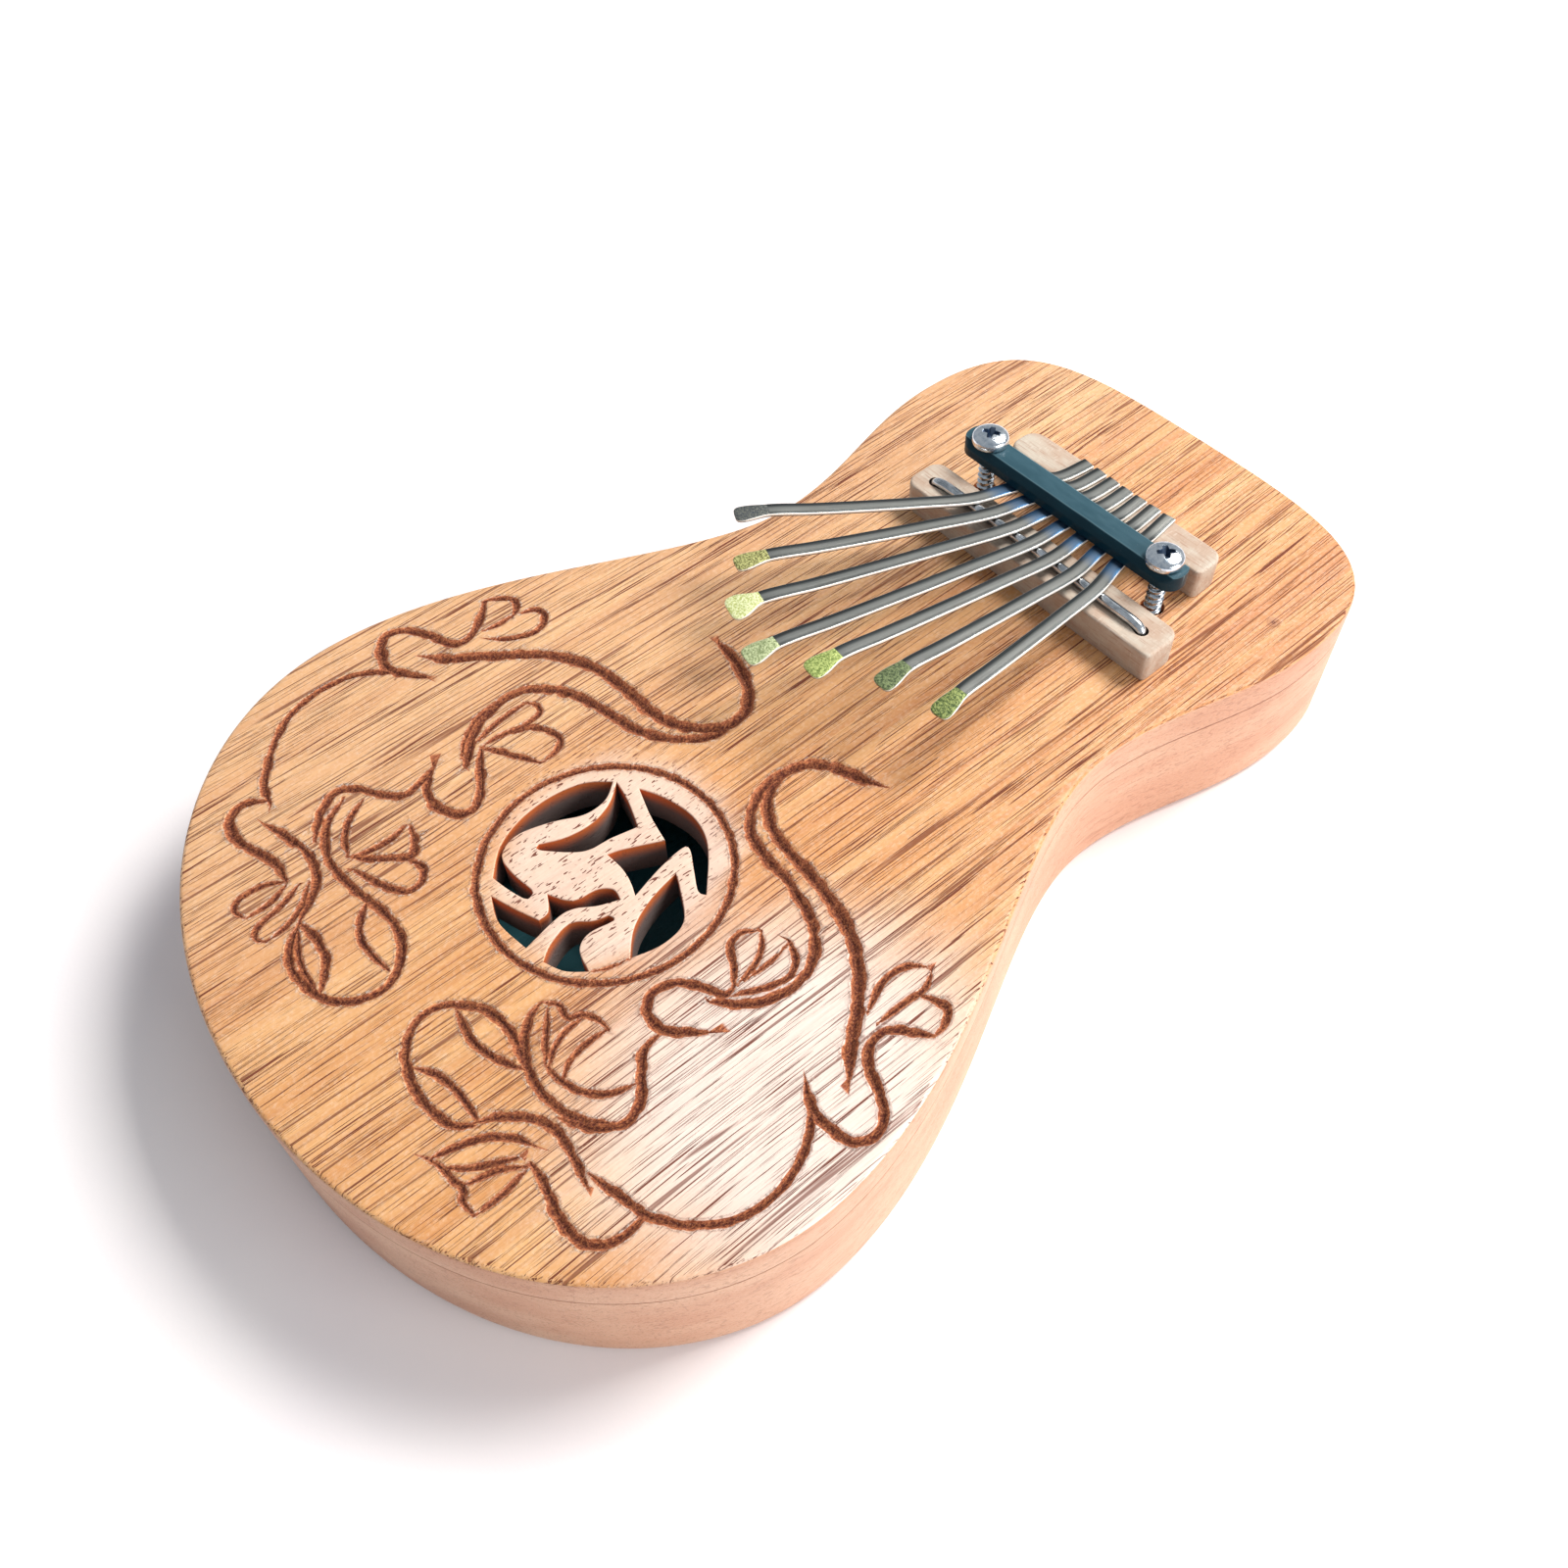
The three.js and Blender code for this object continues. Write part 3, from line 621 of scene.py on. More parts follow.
# Strokes of the knife, in plan: width, then the points it runs through.
VINE = {
    "right long scroll": (2.1, [(20, -0.1), (12.5, -3.2), (9, -6), (7.8, -9.8), (8.8, -14), (12, -17.4),
        (17, -19.5), (24, -20), (31, -20.9), (37, -22.4), (42, -25.2), (47, -29.6), (51, -34.4),
        (55.3, -38.9)]),
    "right inner scroll": (1.8, [(7.4, -8), (7.4, -13.5), (9.6, -18.6), (13, -21.9), (17.5, -23.2),
        (25, -23.7), (31, -25.2), (35.6, -28), (38.4, -32.2), (38.7, -36.5), (37, -41.2), (32.3, -46.2)]),
    "right bud stem": (1.7, [(33, -41.6), (33.1, -43.6), (29.6, -45.4), (26.4, -48.2), (25.8, -51.8),
        (27.9, -54.2), (31, -54.2), (33.6, -52.3), (36.4, -49.2)]),
    "right bud left edge": (1.3, [(33, -41.8), (30, -39.4), (27.2, -37.8), (26.4, -35.2), (27.8, -32.9)]),
    "right bud left fold": (1.0, [(28.2, -32.4), (30.6, -34.4), (32.2, -37.2), (33, -41)]),
    "right bud right edge": (1.3, [(32.2, -30.4), (35.2, -31.5), (37, -34), (36.6, -37), (34, -42.8)]),
    "right bud rib": (0.7, [(32.8, -31.2), (33.3, -35.5), (33.2, -40)]),
    "right waist": (1.7, [(31.8, -55.2), (32.3, -58), (35, -60.6), (38, -63), (39.6, -66.2), (38.4, -69.4),
        (36, -71.6), (33, -73.4)]),
    "right flower stem": (1.5, [(38, -68.6), (34.6, -71.6), (29.5, -73.1), (24, -72.6), (20.2, -70.8),
        (17.2, -68), (16.2, -65.4)]),
    "right flower low petal": (1.3, [(25, -70.3), (28.4, -70), (31.9, -68.6), (34.6, -65.8),
        (35.7, -62.3)]),
    "right flower left fold": (1.1, [(17.6, -64.8), (21.2, -67.6), (25, -70.3)]),
    "right flower middle fold": (1.1, [(22.3, -61.4), (22.3, -64.4), (23.4, -67.6), (25.5, -70.2)]),
    "right flower right fold": (1.1, [(26.2, -60.2), (26, -64), (26.8, -67.5), (28.6, -69.8)]),
    "right flower brow": (1.1, [(16.2, -64.8), (18.2, -63.2), (20.8, -63.4), (22, -61.2), (24.2, -60.2),
        (26.4, -60)]),
    "right upper leaf top": (1.5, [(23.8, -72.7), (19, -71.4), (13.6, -71.2), (9.8, -73), (7, -76),
        (6.3, -79.2), (7.6, -82.6), (11, -85.2), (15, -86.5), (20, -86.6), (24, -85.4), (26, -83)]),
    "right upper leaf foot": (1.3, [(23.4, -73), (19, -75.2), (14, -76.1), (8.6, -75)]),
    "right lower leaf top": (1.3, [(12.6, -84.9), (15.6, -83), (20, -82.2), (25.6, -82.4)]),
    "right tail": (1.5, [(25.6, -82.8), (26.8, -80.2), (29.6, -77), (33, -75.1), (37.6, -75.2),
        (43.6, -76.4)]),
    "right rim arc": (1.4, [(42.2, -75.1), (47.4, -73.9), (52.6, -72.4), (56.8, -69.2), (60, -64.8),
        (61.3, -58.8), (60.2, -53), (57.5, -48.2), (54.4, -45.4)]),
    "right rim stem": (1.7, [(51.7, -43.9), (54.6, -45.5), (58.2, -45.9), (62.8, -44.6), (64, -42),
        (62.8, -39), (59.2, -36.8), (55.4, -35.2), (53.2, -32.6), (53.3, -29.4), (55.6, -27.1),
        (58.4, -25)]),
    "rim bud left edge": (1.3, [(49.2, -29.6), (47.7, -26.6), (46.8, -23.4), (47.4, -19.9), (49.4, -17.9)]),
    "rim bud left fold": (1.1, [(50.4, -17.8), (51.9, -20.6), (51.6, -24.4), (51.5, -29.8)]),
    "rim bud right fold": (1.3, [(51.9, -22.2), (54, -21), (56.4, -20.4), (58, -22.4), (58.4, -25)]),
    "right low stem": (1.5, [(51.8, -72.7), (52.3, -76), (51.3, -79.8), (48.4, -81.8), (43.5, -81.7),
        (38.8, -80.5), (35.4, -80.3)]),
    "right low bud left edge": (1.4, [(34, -78.4), (31, -80), (28.4, -83), (26.8, -87), (26, -90.4)]),
    "right low bud left fold": (1.1, [(34, -80.8), (32.4, -84), (30.4, -87.4), (28.2, -90)]),
    "right low bud right fold": (1.1, [(35.6, -81), (33.6, -84.2), (32.3, -88.8)]),
    "right low bud right edge": (1.0, [(35.9, -81), (36.8, -85.4), (36.9, -90.2)]),
    "right low bud brow": (1.1, [(25.6, -90.8), (28, -90), (30.6, -89.8), (32.4, -89.4), (34, -90.4),
        (36.8, -90.3)]),
    "left long scroll": (2.2, [(-22, -0.1), (-17.5, -0.4), (-12.8, -1.8), (-9, -4), (-6.6, -7),
        (-6.4, -10.4), (-8.6, -14.2), (-12, -17), (-17, -18.6), (-24, -19), (-30, -19.6), (-35, -21.2),
        (-40, -24.6), (-44, -29), (-48, -34.2), (-51, -38.3), (-54, -41)]),
    "left inner scroll": (2.0, [(-6, -9.6), (-6.3, -14), (-8.8, -18), (-12.6, -21.4), (-18, -23.5),
        (-24, -24.8), (-30, -26.7), (-34.2, -29.8), (-36.3, -34), (-36, -39.4), (-33.6, -44.2),
        (-28.3, -49.3)]),
    "left inner shadow": (0.8, [(-37, -36), (-36.2, -41.6), (-33.4, -46.2), (-30.6, -48.6)]),
    "left bud left edge": (1.1, [(-31.8, -45), (-32.9, -40), (-33.3, -36), (-33.2, -33.6)]),
    "left bud brow": (1.1, [(-33.4, -33.8), (-31.8, -32.6), (-30, -33), (-29.4, -36), (-30.2, -41),
        (-30.3, -44.2)]),
    "left bud right edge": (1.3, [(-29.4, -39.4), (-28.2, -36), (-25.6, -34.3), (-23, -33.8),
        (-21.3, -35.6), (-20.8, -38.6)]),
    "left bud foot": (1.3, [(-20.9, -39.3), (-24, -41), (-28, -43.4), (-30.2, -45)]),
    "left bud stem": (1.7, [(-30, -45), (-26.5, -47.5), (-22.8, -49.8), (-20.3, -53), (-21.4, -55.6),
        (-24.5, -57.2), (-28.2, -57), (-30.3, -55.3), (-32.1, -53.2)]),
    "left waist": (1.7, [(-31.9, -53.4), (-30.8, -56.5), (-30.3, -59.8), (-33, -62.8), (-36.5, -65),
        (-38.3, -67.8), (-37.2, -71), (-34.6, -73.8), (-32, -75.7)]),
    "left flower stem": (1.5, [(-36, -68.4), (-33.9, -72.2), (-30, -75), (-25.5, -76.1), (-20, -75.7),
        (-13, -74.4), (-8, -74.6), (-4, -76.8), (-1.8, -79.7), (-1.5, -83), (-3.3, -87), (-6.5, -89.3),
        (-11, -90.3), (-15, -89.8), (-18, -87.8), (-20, -85.2)]),
    "left flower low petal": (1.3, [(-33.9, -65.7), (-32, -69.4), (-29, -72), (-25.7, -73.3)]),
    "left flower left fold": (1.3, [(-24.9, -63), (-24.2, -66.5), (-24.5, -70), (-25.5, -73)]),
    "left flower middle fold": (1.5, [(-24.4, -62.4), (-21.8, -63.4), (-19.4, -65.2), (-20.4, -67.4),
        (-22.8, -70.4), (-25.5, -73)]),
    "left flower right fold": (1.4, [(-19.2, -66.4), (-16, -65.2), (-13.8, -67.2), (-13.8, -69.4),
        (-17, -71.7), (-23, -73.8)]),
    "left upper leaf foot": (1.3, [(-16.6, -75.2), (-14.6, -77.4), (-11.6, -79.4), (-8, -79.7),
        (-3.6, -79.2)]),
    "left lower leaf top": (1.4, [(-20.2, -85.2), (-15, -84.7), (-11, -85.8), (-7, -88.9)]),
    "left lower leaf fold": (1.1, [(-19.2, -85.8), (-16.4, -87.6), (-12, -89), (-7.4, -89.2)]),
    "left tail": (1.5, [(-40.4, -80.2), (-36, -78.8), (-30.5, -77.8), (-25.6, -79), (-22.6, -82),
        (-20.2, -85.2)]),
    "left rim arc": (1.4, [(-54, -46.8), (-56.4, -49), (-58.6, -52.6), (-59.5, -58), (-58.7, -64),
        (-56, -69), (-51.2, -73.8), (-46.6, -76.8), (-43.2, -77.5)]),
    "left rim stem": (1.8, [(-49.6, -43.3), (-53.5, -46.2), (-57, -47.4), (-61, -46), (-63, -43.5),
        (-61.8, -40.3), (-58.5, -38), (-54, -36.2), (-52.6, -34), (-53.4, -31), (-56.3, -27.4),
        (-58.2, -25.6)]),
    "left rim bud left edge": (1.4, [(-58.4, -25.8), (-57.6, -24), (-55.4, -21.6), (-53.2, -22),
        (-51.6, -24)]),
    "left rim bud rib": (1.1, [(-52, -23.4), (-51.8, -26.5), (-52.2, -29.6)]),
    "left rim bud right edge": (1.4, [(-51.4, -22.4), (-50.4, -19.8), (-48.6, -19.3), (-46.6, -20.8),
        (-46, -23.2), (-47.4, -27), (-49.8, -30)]),
    "left low stem": (1.7, [(-44.4, -77.6), (-46.3, -81), (-45.2, -83.8), (-42, -85.2), (-38, -84.4),
        (-32.5, -82.7), (-28, -83)]),
    "left low bud left edge": (1.1, [(-28.2, -83), (-29.9, -86.2), (-30, -90.6), (-28.6, -91.9),
        (-26.4, -91.2)]),
    "left low bud left fold": (1.1, [(-27.6, -83.3), (-26.3, -87), (-26.2, -91)]),
    "left low bud right fold": (1.1, [(-26.4, -81.5), (-24.6, -86), (-23.3, -91), (-21.8, -91.8),
        (-20.3, -90.7)]),
    "left low bud right edge": (1.1, [(-25.6, -80.4), (-22.6, -83.4), (-20.8, -87), (-20.4, -90.4)]),
    "rosette scratch": (0.6, [(16.6, -56.6), (17.8, -54.4), (18.5, -52), (18.9, -50.2)]),
}
STROKE_STEP = 0.4
CUT_SLOPE = 0.48                       # depth of a cut over its width
BLADE = 0.97                           # width left by the knife over the stroke's drawn width
TAPER = 3.0                            # length over which a stroke's end rises out of the wood
LIP = 0.42                            # width of the torn edge beside a cut


class Carving:
    """Heights of the knife cuts anywhere on the board."""

    def __init__(self):
        chance = random.Random(SEED)
        self.at, self.along, self.half = [], [], []
        angles = np.linspace(0, 2 * math.pi, 320, endpoint=False)
        ring = np.array(ROSETTE) + RING["radius"] * np.stack([np.cos(angles), np.sin(angles)], axis=1)
        self.stroke(ring, RING["width"], chance, closed=True)
        for width, points in VINE.values():
            self.stroke(spline(points, STROKE_STEP), width, chance)
        self.tree = kdtree.KDTree(len(self.at))
        for i, (x, y) in enumerate(self.at):
            self.tree.insert((x, y, 0), i)
        self.tree.balance()

    def stroke(self, line, width, chance, closed=False):
        along = np.gradient(line, axis=0)
        if closed:
            along = np.roll(line, -1, 0) - np.roll(line, 1, 0)
        along /= np.linalg.norm(along, axis=1)[:, None]
        count = len(line)
        shake = chance.random() * 50
        for i in range(count):
            end = min(i, count - 1 - i) * STROKE_STEP
            taper = 1.0 if closed else min(1.0, 0.25 + 0.75 * end / min(TAPER, count * STROKE_STEP / 3))
            halves = []
            for side in (0, 1):
                slow = noise.noise((i * STROKE_STEP * 0.3, shake, side * 9))
                torn = noise.noise((line[i][0] * 1.8, shake + side * 7, line[i][1] * 0.3))
                across_grain = 0.2 + 0.65 * abs(along[i][0])
                halves.append(width * BLADE / 2 * taper * (1 + 0.2 * slow + across_grain * torn))
            self.at.append(tuple(line[i]))
            self.along.append(tuple(along[i]))
            self.half.append(halves)

    def heights(self, plan):
        """Height, cut share and torn-lip share at each plan point."""
        z, carve, lip = np.zeros(len(plan)), np.zeros(len(plan)), np.zeros(len(plan))
        for k, (x, y) in enumerate(plan):
            for _, i, distance in self.tree.find_n((x, y, 0), 5):
                if distance > 2:
                    break
                dx, dy = x - self.at[i][0], y - self.at[i][1]
                tx, ty = self.along[i]
                half = self.half[i][0 if dx * ty < dy * tx else 1]
                lengthwise = abs(dx * tx + dy * ty)
                off = math.hypot(dx * ty - dy * tx, max(0.0, lengthwise - STROKE_STEP / 2))
                if off < half:
                    share = 1 - off / half
                    z[k] = min(z[k], -sum(self.half[i]) * CUT_SLOPE * share)
                    carve[k] = max(carve[k], min(1.0, share * 1.5))
                elif off < half + LIP:
                    lip[k] = max(lip[k], 1 - (off - half) / LIP)
        torn = lip * (carve == 0)
        rough = np.array([noise.noise((x * 2.1, y * 2.1, 3)) for x, y in plan])
        z += torn * 0.06 * (0.6 + rough)
        z += np.where(carve > 0, 0.08 * rough * carve, 0)
        return {"z": z, "carve": carve, "lip": torn}

    def points(self):
        """Plan points that follow every cut closely enough to shape it."""
        at, along, half = (np.array(part) for part in (self.at, self.along, self.half))
        across = np.stack([-along[:, 1], along[:, 0]], axis=1)
        rows = [at]
        for side, sign in ((0, 1), (1, -1)):
            for share in (0.36, 0.72, 1):
                rows.append(at + across * (sign * half[:, side] * share)[:, None])
            rows.append(at + across * (sign * (half[:, side] + LIP / 2))[:, None])
            rows.append(at + across * (sign * (half[:, side] + LIP + 0.05))[:, None])
        return np.vstack(rows)


def thin_out(points, gap, taken):
    """Keeps points that are at least a gap away from each other and from the points already taken."""
    cells = {}

    def free(x, y):
        i, j = math.floor(x / gap), math.floor(y / gap)
        for a in (i - 1, i, i + 1):
            for b in (j - 1, j, j + 1):
                for px, py in cells.get((a, b), ()):
                    if (px - x) ** 2 + (py - y) ** 2 < gap * gap:
                        return False
        return True

    def take(x, y):
        cells.setdefault((math.floor(x / gap), math.floor(y / gap)), []).append((x, y))

    for x, y in taken:
        take(x, y)
    kept = []
    for x, y in points:
        if free(x, y):
            take(x, y)
            kept.append((x, y))
    return np.array(kept)


BOARD_EDGE = (0.9, 0.22)               # edge radii: round the outline, round the openings
GLUE_EDGE = (0.22, 0.15)
BACKGROUND = 2.2


def board_points(carving, loops):
    """Inner points of the board's top: dense along the cuts, sparse elsewhere."""
    rim = np.vstack(loops)
    cuts = carving.points()
    near_rim = kdtree.KDTree(len(rim))
    for i, (x, y) in enumerate(rim):
        near_rim.insert((x, y, 0), i)
    near_rim.balance()
    cuts = np.array([p for p in cuts if near_rim.find((p[0], p[1], 0))[2] > 0.3])
    cuts = thin_out(cuts, 0.16, [])
    xs = np.arange(BOARD_LOW.x, BOARD_HIGH.x, BACKGROUND)
    ys = np.arange(BOARD_LOW.y, BOARD_HIGH.y, BACKGROUND * 0.866)
    grid = np.array([(x + (j % 2) * BACKGROUND / 2, y) for j, y in enumerate(ys) for x in xs])
    far = [near_rim.find((x, y, 0))[2] > 1.0 and carving.tree.find((x, y, 0))[2] > 1.7 for x, y in grid]
    points = np.vstack([cuts, grid[np.array(far)]])
    return points[is_inside(points, loops)]


def make_soundboard(material, edge_material):
    carving = Carving()
    loops = rims("soundboard", BOARD_TOP, 0.6)
    flats = [edge_rows(loop, 0, BOARD_EDGE[min(k, 1)], -1)[0][:, :2] for k, loop in enumerate(loops)]
    pieces = Pieces("carve", "lip", "opening")
    plate(pieces, loops, GLUE_LINE, BOARD_TOP, BOARD_EDGE, GLUE_EDGE,
          board_points(carving, flats), carving.heights)
    board = pieces.build("carved_soundboard", material, smooth=40)
    board.data.materials.append(edge_material)
    carve, opening = (board.data.attributes[mark].data for mark in ("carve", "opening"))
    for face in board.data.polygons:
        if abs(face.normal.z) < 0.75 and face.center.z < BOARD_TOP * MM - 0.0003:
            if all(carve[i].value + opening[i].value < 0.01 for i in face.vertices):
                face.material_index = 1
    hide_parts("soundboard")
    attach(board, "box")


# ---- body: routed block with a rounded back edge ----
BACK_EDGE = 1.6
CHAMBER_FLOOR = 5.0


def make_body(material):
    loops = rims("body", BODY_HIGH.z, 1.0)
    outline, chamber, screw_holes = loops[0], loops[1], loops[2:]
    pieces = Pieces("opening")
    upper = edge_rows(outline, GLUE_LINE, GLUE_EDGE[0], -1)
    lower = edge_rows(outline, BODY_LOW.z, BACK_EDGE, 1)
    high, low = upper[-1][0, 2], lower[-1][0, 2]
    wall = [lifted(outline, high + (low - high) * i / 8) for i in range(1, 8)]
    pieces.rows((upper + wall + lower[::-1])[::-1])
    plan, faces = fill([upper[0][:, :2], chamber] + screw_holes)
    pieces.add(lifted(plan, GLUE_LINE), faces)
    plan, faces = fill([lower[0][:, :2]])
    pieces.add(lifted(plan, BODY_LOW.z), [face[::-1] for face in faces])
    depth = [CHAMBER_FLOOR, CHAMBER_FLOOR + 1, GLUE_LINE - 1, GLUE_LINE]
    # the chamber and screw holes are marked opening, which the body wood paints dark teal as painted shade
    pieces.rows([lifted(chamber, z) for z in depth], opening=[1.0] * 4)
    plan, faces = fill([chamber])
    pieces.add(lifted(plan, CHAMBER_FLOOR), faces, opening=1.0)
    for hole in screw_holes:
        hole_floor = BODY_LOW.z + CHAMBER_FLOOR
        pieces.rows([lifted(hole, hole_floor), lifted(hole, GLUE_LINE)], opening=[1.0] * 2)
        plan, faces = fill([hole])
        pieces.add(lifted(plan, hole_floor), faces, opening=1.0)
    body = pieces.build("box_body", material, smooth=40)
    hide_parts("body")
    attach(body, "box")


# ---- bridges ----
BRIDGE_EDGE = (0.55, 0.25)
BRIDGE_FOOT = (0.15, 0.1)
ROD_PLAY = 0.4                         # room round the wire where it turns down into the front bridge


def make_bridge(node, material, wire_line):
    high = box_mm(node)[1]
    loops = rims(node, high.z, 0.5)
    pieces = Pieces("opening")
    plate(pieces, loops[:1], BOARD_TOP - 0.02, high.z, BRIDGE_EDGE, BRIDGE_FOOT)
    bridge = pieces.build("wood_" + node, material, smooth=50)
    if node == "front_bridge":
        seat = Pieces("opening")
        level = wire_line[:, 2].max()
        low_share = np.clip((level - wire_line[:, 2]) / 1.2, 0, 1)
        radius = wire_radius() + 0.04 + ROD_PLAY * low_share
        # the wire's holes are marked opening, which the pale wood paints dark as painted shade
        seat.rows(tube_rows(wire_line, radius, 24), ends=True, opening=[[1.0]] * len(wire_line))
        cut_away(bridge, seat.build("cutter", material), 50, "opening")
    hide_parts(node)
    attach(bridge, "box")


# ---- round wire ----
def tube_rows(line, radius, sides):
    """Rings of points round a line in space, carried along it without twisting."""
    line = np.asarray(line, float)
    ahead = np.gradient(line, axis=0)
    ahead /= np.linalg.norm(ahead, axis=1)[:, None]
    across = np.cross(ahead[0], (0.0, 1.0, 0.0))
    rows = []
    for at, forward, radius in zip(line, ahead, np.broadcast_to(radius, len(line))):
        across = across - forward * (across @ forward)
        across /= np.linalg.norm(across)
        lift = np.cross(forward, across)
        angles = np.arange(sides) * 2 * math.pi / sides
        rows.append(at + radius * (np.outer(np.cos(angles), across) + np.outer(np.sin(angles), lift)))
    return rows


def wire_radius():
    low, high = box_mm("saddle_rod")
    return (high.y - low.y) / 2


ROD_SEAT = 0.15                        # how deep the wire beds into the bridge
ROD_LEG = 3.5                          # how far its ends reach down into the bridge


def make_rod(material):
    low, high = box_mm("saddle_rod")
    radius = wire_radius()
    y = (high.y + low.y) / 2
    left, right = low.x + radius, high.x - radius
    top = box_mm("front_bridge")[1].z
    level = top - ROD_SEAT + radius
    line = spline([(left, y, top - ROD_LEG), (left + 0.05, y, level - 1.9), (left + 0.6, y, level - 0.7),
                   (left + 2.2, y, level - 0.15), (left + 6, y, level), (0, y, level), (right - 6, y, level),
                   (right - 2.2, y, level - 0.1), (right - 0.6, y, level - 0.6),
                   (right - 0.05, y, level - 1.8), (right, y, top - ROD_LEG)], 0.5)
    pieces = Pieces()
    pieces.rows(tube_rows(line, radius, 24), ends=True)
    rod = pieces.build("saddle_wire", material, smooth=50)
    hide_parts("saddle_rod")
    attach(rod, "box")
    return line, level + radius


# ---- pressure bar: folded channel with rounded ends ----
BAR_SHOULDER = 1.76                    # height at which its slanted sides start
BAR_TOP_SHARE = 0.656                  # width of its flat top over its base
BAR_WALL = 1.0
BAR_ROUND_END = 3.0
SCREW_HOLE = 2.15


def soften(points, radius, steps=4):
    """A closed polygon with its corners rounded off."""
    points = [np.asarray(p, float) for p in points]
    made = []
    for k, corner in enumerate(points):
        sides = []
        for other in (points[k - 1], points[(k + 1) % len(points)]):
            reach = np.linalg.norm(other - corner)
            sides.append(corner + (other - corner) * min(radius, reach * 0.45) / reach)
        for i in range(steps + 1):
            t = i / steps
            made.append((1 - t) ** 2 * sides[0] + 2 * t * (1 - t) * corner + t * t * sides[1])
    return np.array(made)


def make_bar(material):
    low, high = box_mm("pressure_bar")
    y = (low.y + high.y) / 2
    base, height = (high.y - low.y) / 2, high.z - low.z
    top = base * BAR_TOP_SHARE
    skin = soften([(-base, 0), (-base, BAR_SHOULDER), (-top, height), (top, height), (base, BAR_SHOULDER),
                   (base, 0)], 0.2, 3)
    inner = base - BAR_WALL
    roof = height - BAR_WALL
    lining = soften([(inner, 0), (inner, BAR_SHOULDER - 0.2), (top - 0.5, roof), (0.5 - top, roof),
                     (-inner, BAR_SHOULDER - 0.2), (-inner, 0)], 0.1, 1)
    curve = [BAR_ROUND_END * (1 - math.cos(math.pi / 2 * k / 14)) for k in range(15)]
    spans = [low.x + e for e in curve] + list(np.linspace(low.x + 3.6, high.x - 3.6, 40))
    spans += [high.x - e for e in curve[::-1]]
    rows = []
    for x in spans:
        near = min(x - low.x, high.x - x, BAR_ROUND_END)
        half = base - BAR_ROUND_END + math.sqrt(max(0.0, BAR_ROUND_END ** 2 - (BAR_ROUND_END - near) ** 2))
        open_share = min(1.0, max(0.03, near - 1.2))
        dent = 0.05 * noise.noise((x * 0.22, 0, 9))
        outside = [(max(-half, min(half, a)), b + dent * (b > height - 0.1) - 0.05) for a, b in skin]
        near_half = max(0.1, half - 0.1)
        inside = [(max(-near_half, min(near_half, a)), 0.02 + b * open_share) for a, b in lining]
        rows.append(np.array([(x, y + a, low.z + max(0.0, b)) for a, b in outside + inside]))
    # the ridges beside the flat top, which the paint lightens as a painted highlight
    painted_highlight = [1.0 if b > BAR_SHOULDER + 0.9 and 0 < abs(a) - top + 0.1 < 0.16 else 0.0 for a, b in skin]
    # the flat top, which the paint lightens as a painted sheen
    level = [1.0 if b > height - 0.02 else 0.0 for a, b in skin]
    painted_highlight, level = (np.concatenate([mark, np.zeros(len(lining))]) for mark in (painted_highlight, level))
    pieces = Pieces("edge", "top")
    pieces.rows(rows, ends=True, edge=[painted_highlight] * len(rows), top=[level] * len(rows))
    bar = pieces.build("clamp_bar", material, smooth=24)
    for side in ("left", "right"):
        x = sum(part.x for part in box_mm("clamp_screw_" + side)) / 2
        cut_away(bar, post(x, y, SCREW_HOLE, low.z - 1, high.z + 1), 38)
    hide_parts("pressure_bar")
    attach(bar, "box")


# ---- cutting one mesh with another ----
ON_SURFACE = 5e-6                      # distance, in metres, within which a vertex lies on a mesh
STRAIGHT = 0.1                         # bend, in radians, below which a vertex only splits an edge


def splits_an_edge(vertex):
    """Whether a vertex lies on a nearly straight edge that it only divides."""
    if len(vertex.link_edges) != 2:
        return False
    before, after = (edge.other_vert(vertex).co for edge in vertex.link_edges)
    return (vertex.co - before).angle(after - vertex.co) < STRAIGHT


def cut_away(thing, cutter, smooth, mark=None):
    """Cuts a closed mesh out of another, for good, and marks the vertices inside the cut."""
    bpy.context.view_layer.update()
    graph = bpy.context.evaluated_depsgraph_get()
    skin, blade = (BVHTree.FromObject(item, graph) for item in (thing, cutter))
    cut = thing.modifiers.new("cut", "BOOLEAN")
    cut.operation, cut.object, cut.solver = "DIFFERENCE", cutter, "EXACT"
    bpy.context.view_layer.update()
    made = bpy.data.meshes.new_from_object(thing.evaluated_get(bpy.context.evaluated_depsgraph_get()))
    thing.modifiers.clear()
    tidy = bmesh.new()
    tidy.from_mesh(made)
    bmesh.ops.dissolve_verts(tidy, verts=[vertex for vertex in tidy.verts if splits_an_edge(vertex)])
    tidy.to_mesh(made)
    tidy.free()
    material = thing.data.materials[0]
    made.name = thing.data.name
    made.materials.clear()
    made.materials.append(material)
    made.polygons.foreach_set("material_index", [0] * len(made.polygons))
    thing.data = made
    for vertex in made.vertices if mark else ():
        if blade.find_nearest(vertex.co)[3] < ON_SURFACE < skin.find_nearest(vertex.co)[3]:
            made.attributes[mark].data[vertex.index].value = 1.0
    bpy.data.objects.remove(cutter)
    made.shade_smooth()
    made.set_sharp_from_angle(angle=math.radians(smooth))


def post(x, y, radius, bottom, top, sides=32):
    """A round cutter standing upright."""
    angles = np.arange(sides) * 2 * math.pi / sides
    plan = np.column_stack([x + radius * np.cos(angles), y + radius * np.sin(angles)])
    pieces = Pieces("opening", "edge")
    pieces.rows([lifted(plan, bottom), lifted(plan, top)], ends=True)
    return pieces.build("cutter", bpy.data.materials[0])


# ---- screws: pan head with a cross recess, coarse thread ----
THREAD_PITCH = 1.35
THREAD_CORE = 1.15
THREAD_CREST = 1.7
POINT_LENGTH = 6
RECESS = {"reach": 2.1, "half": 0.5, "depth": 1.6}
HEAD_RIM = 0.75                        # height of the head's widest band
HEAD_SINK = 0.25                       # how far the head stays below its CAD top


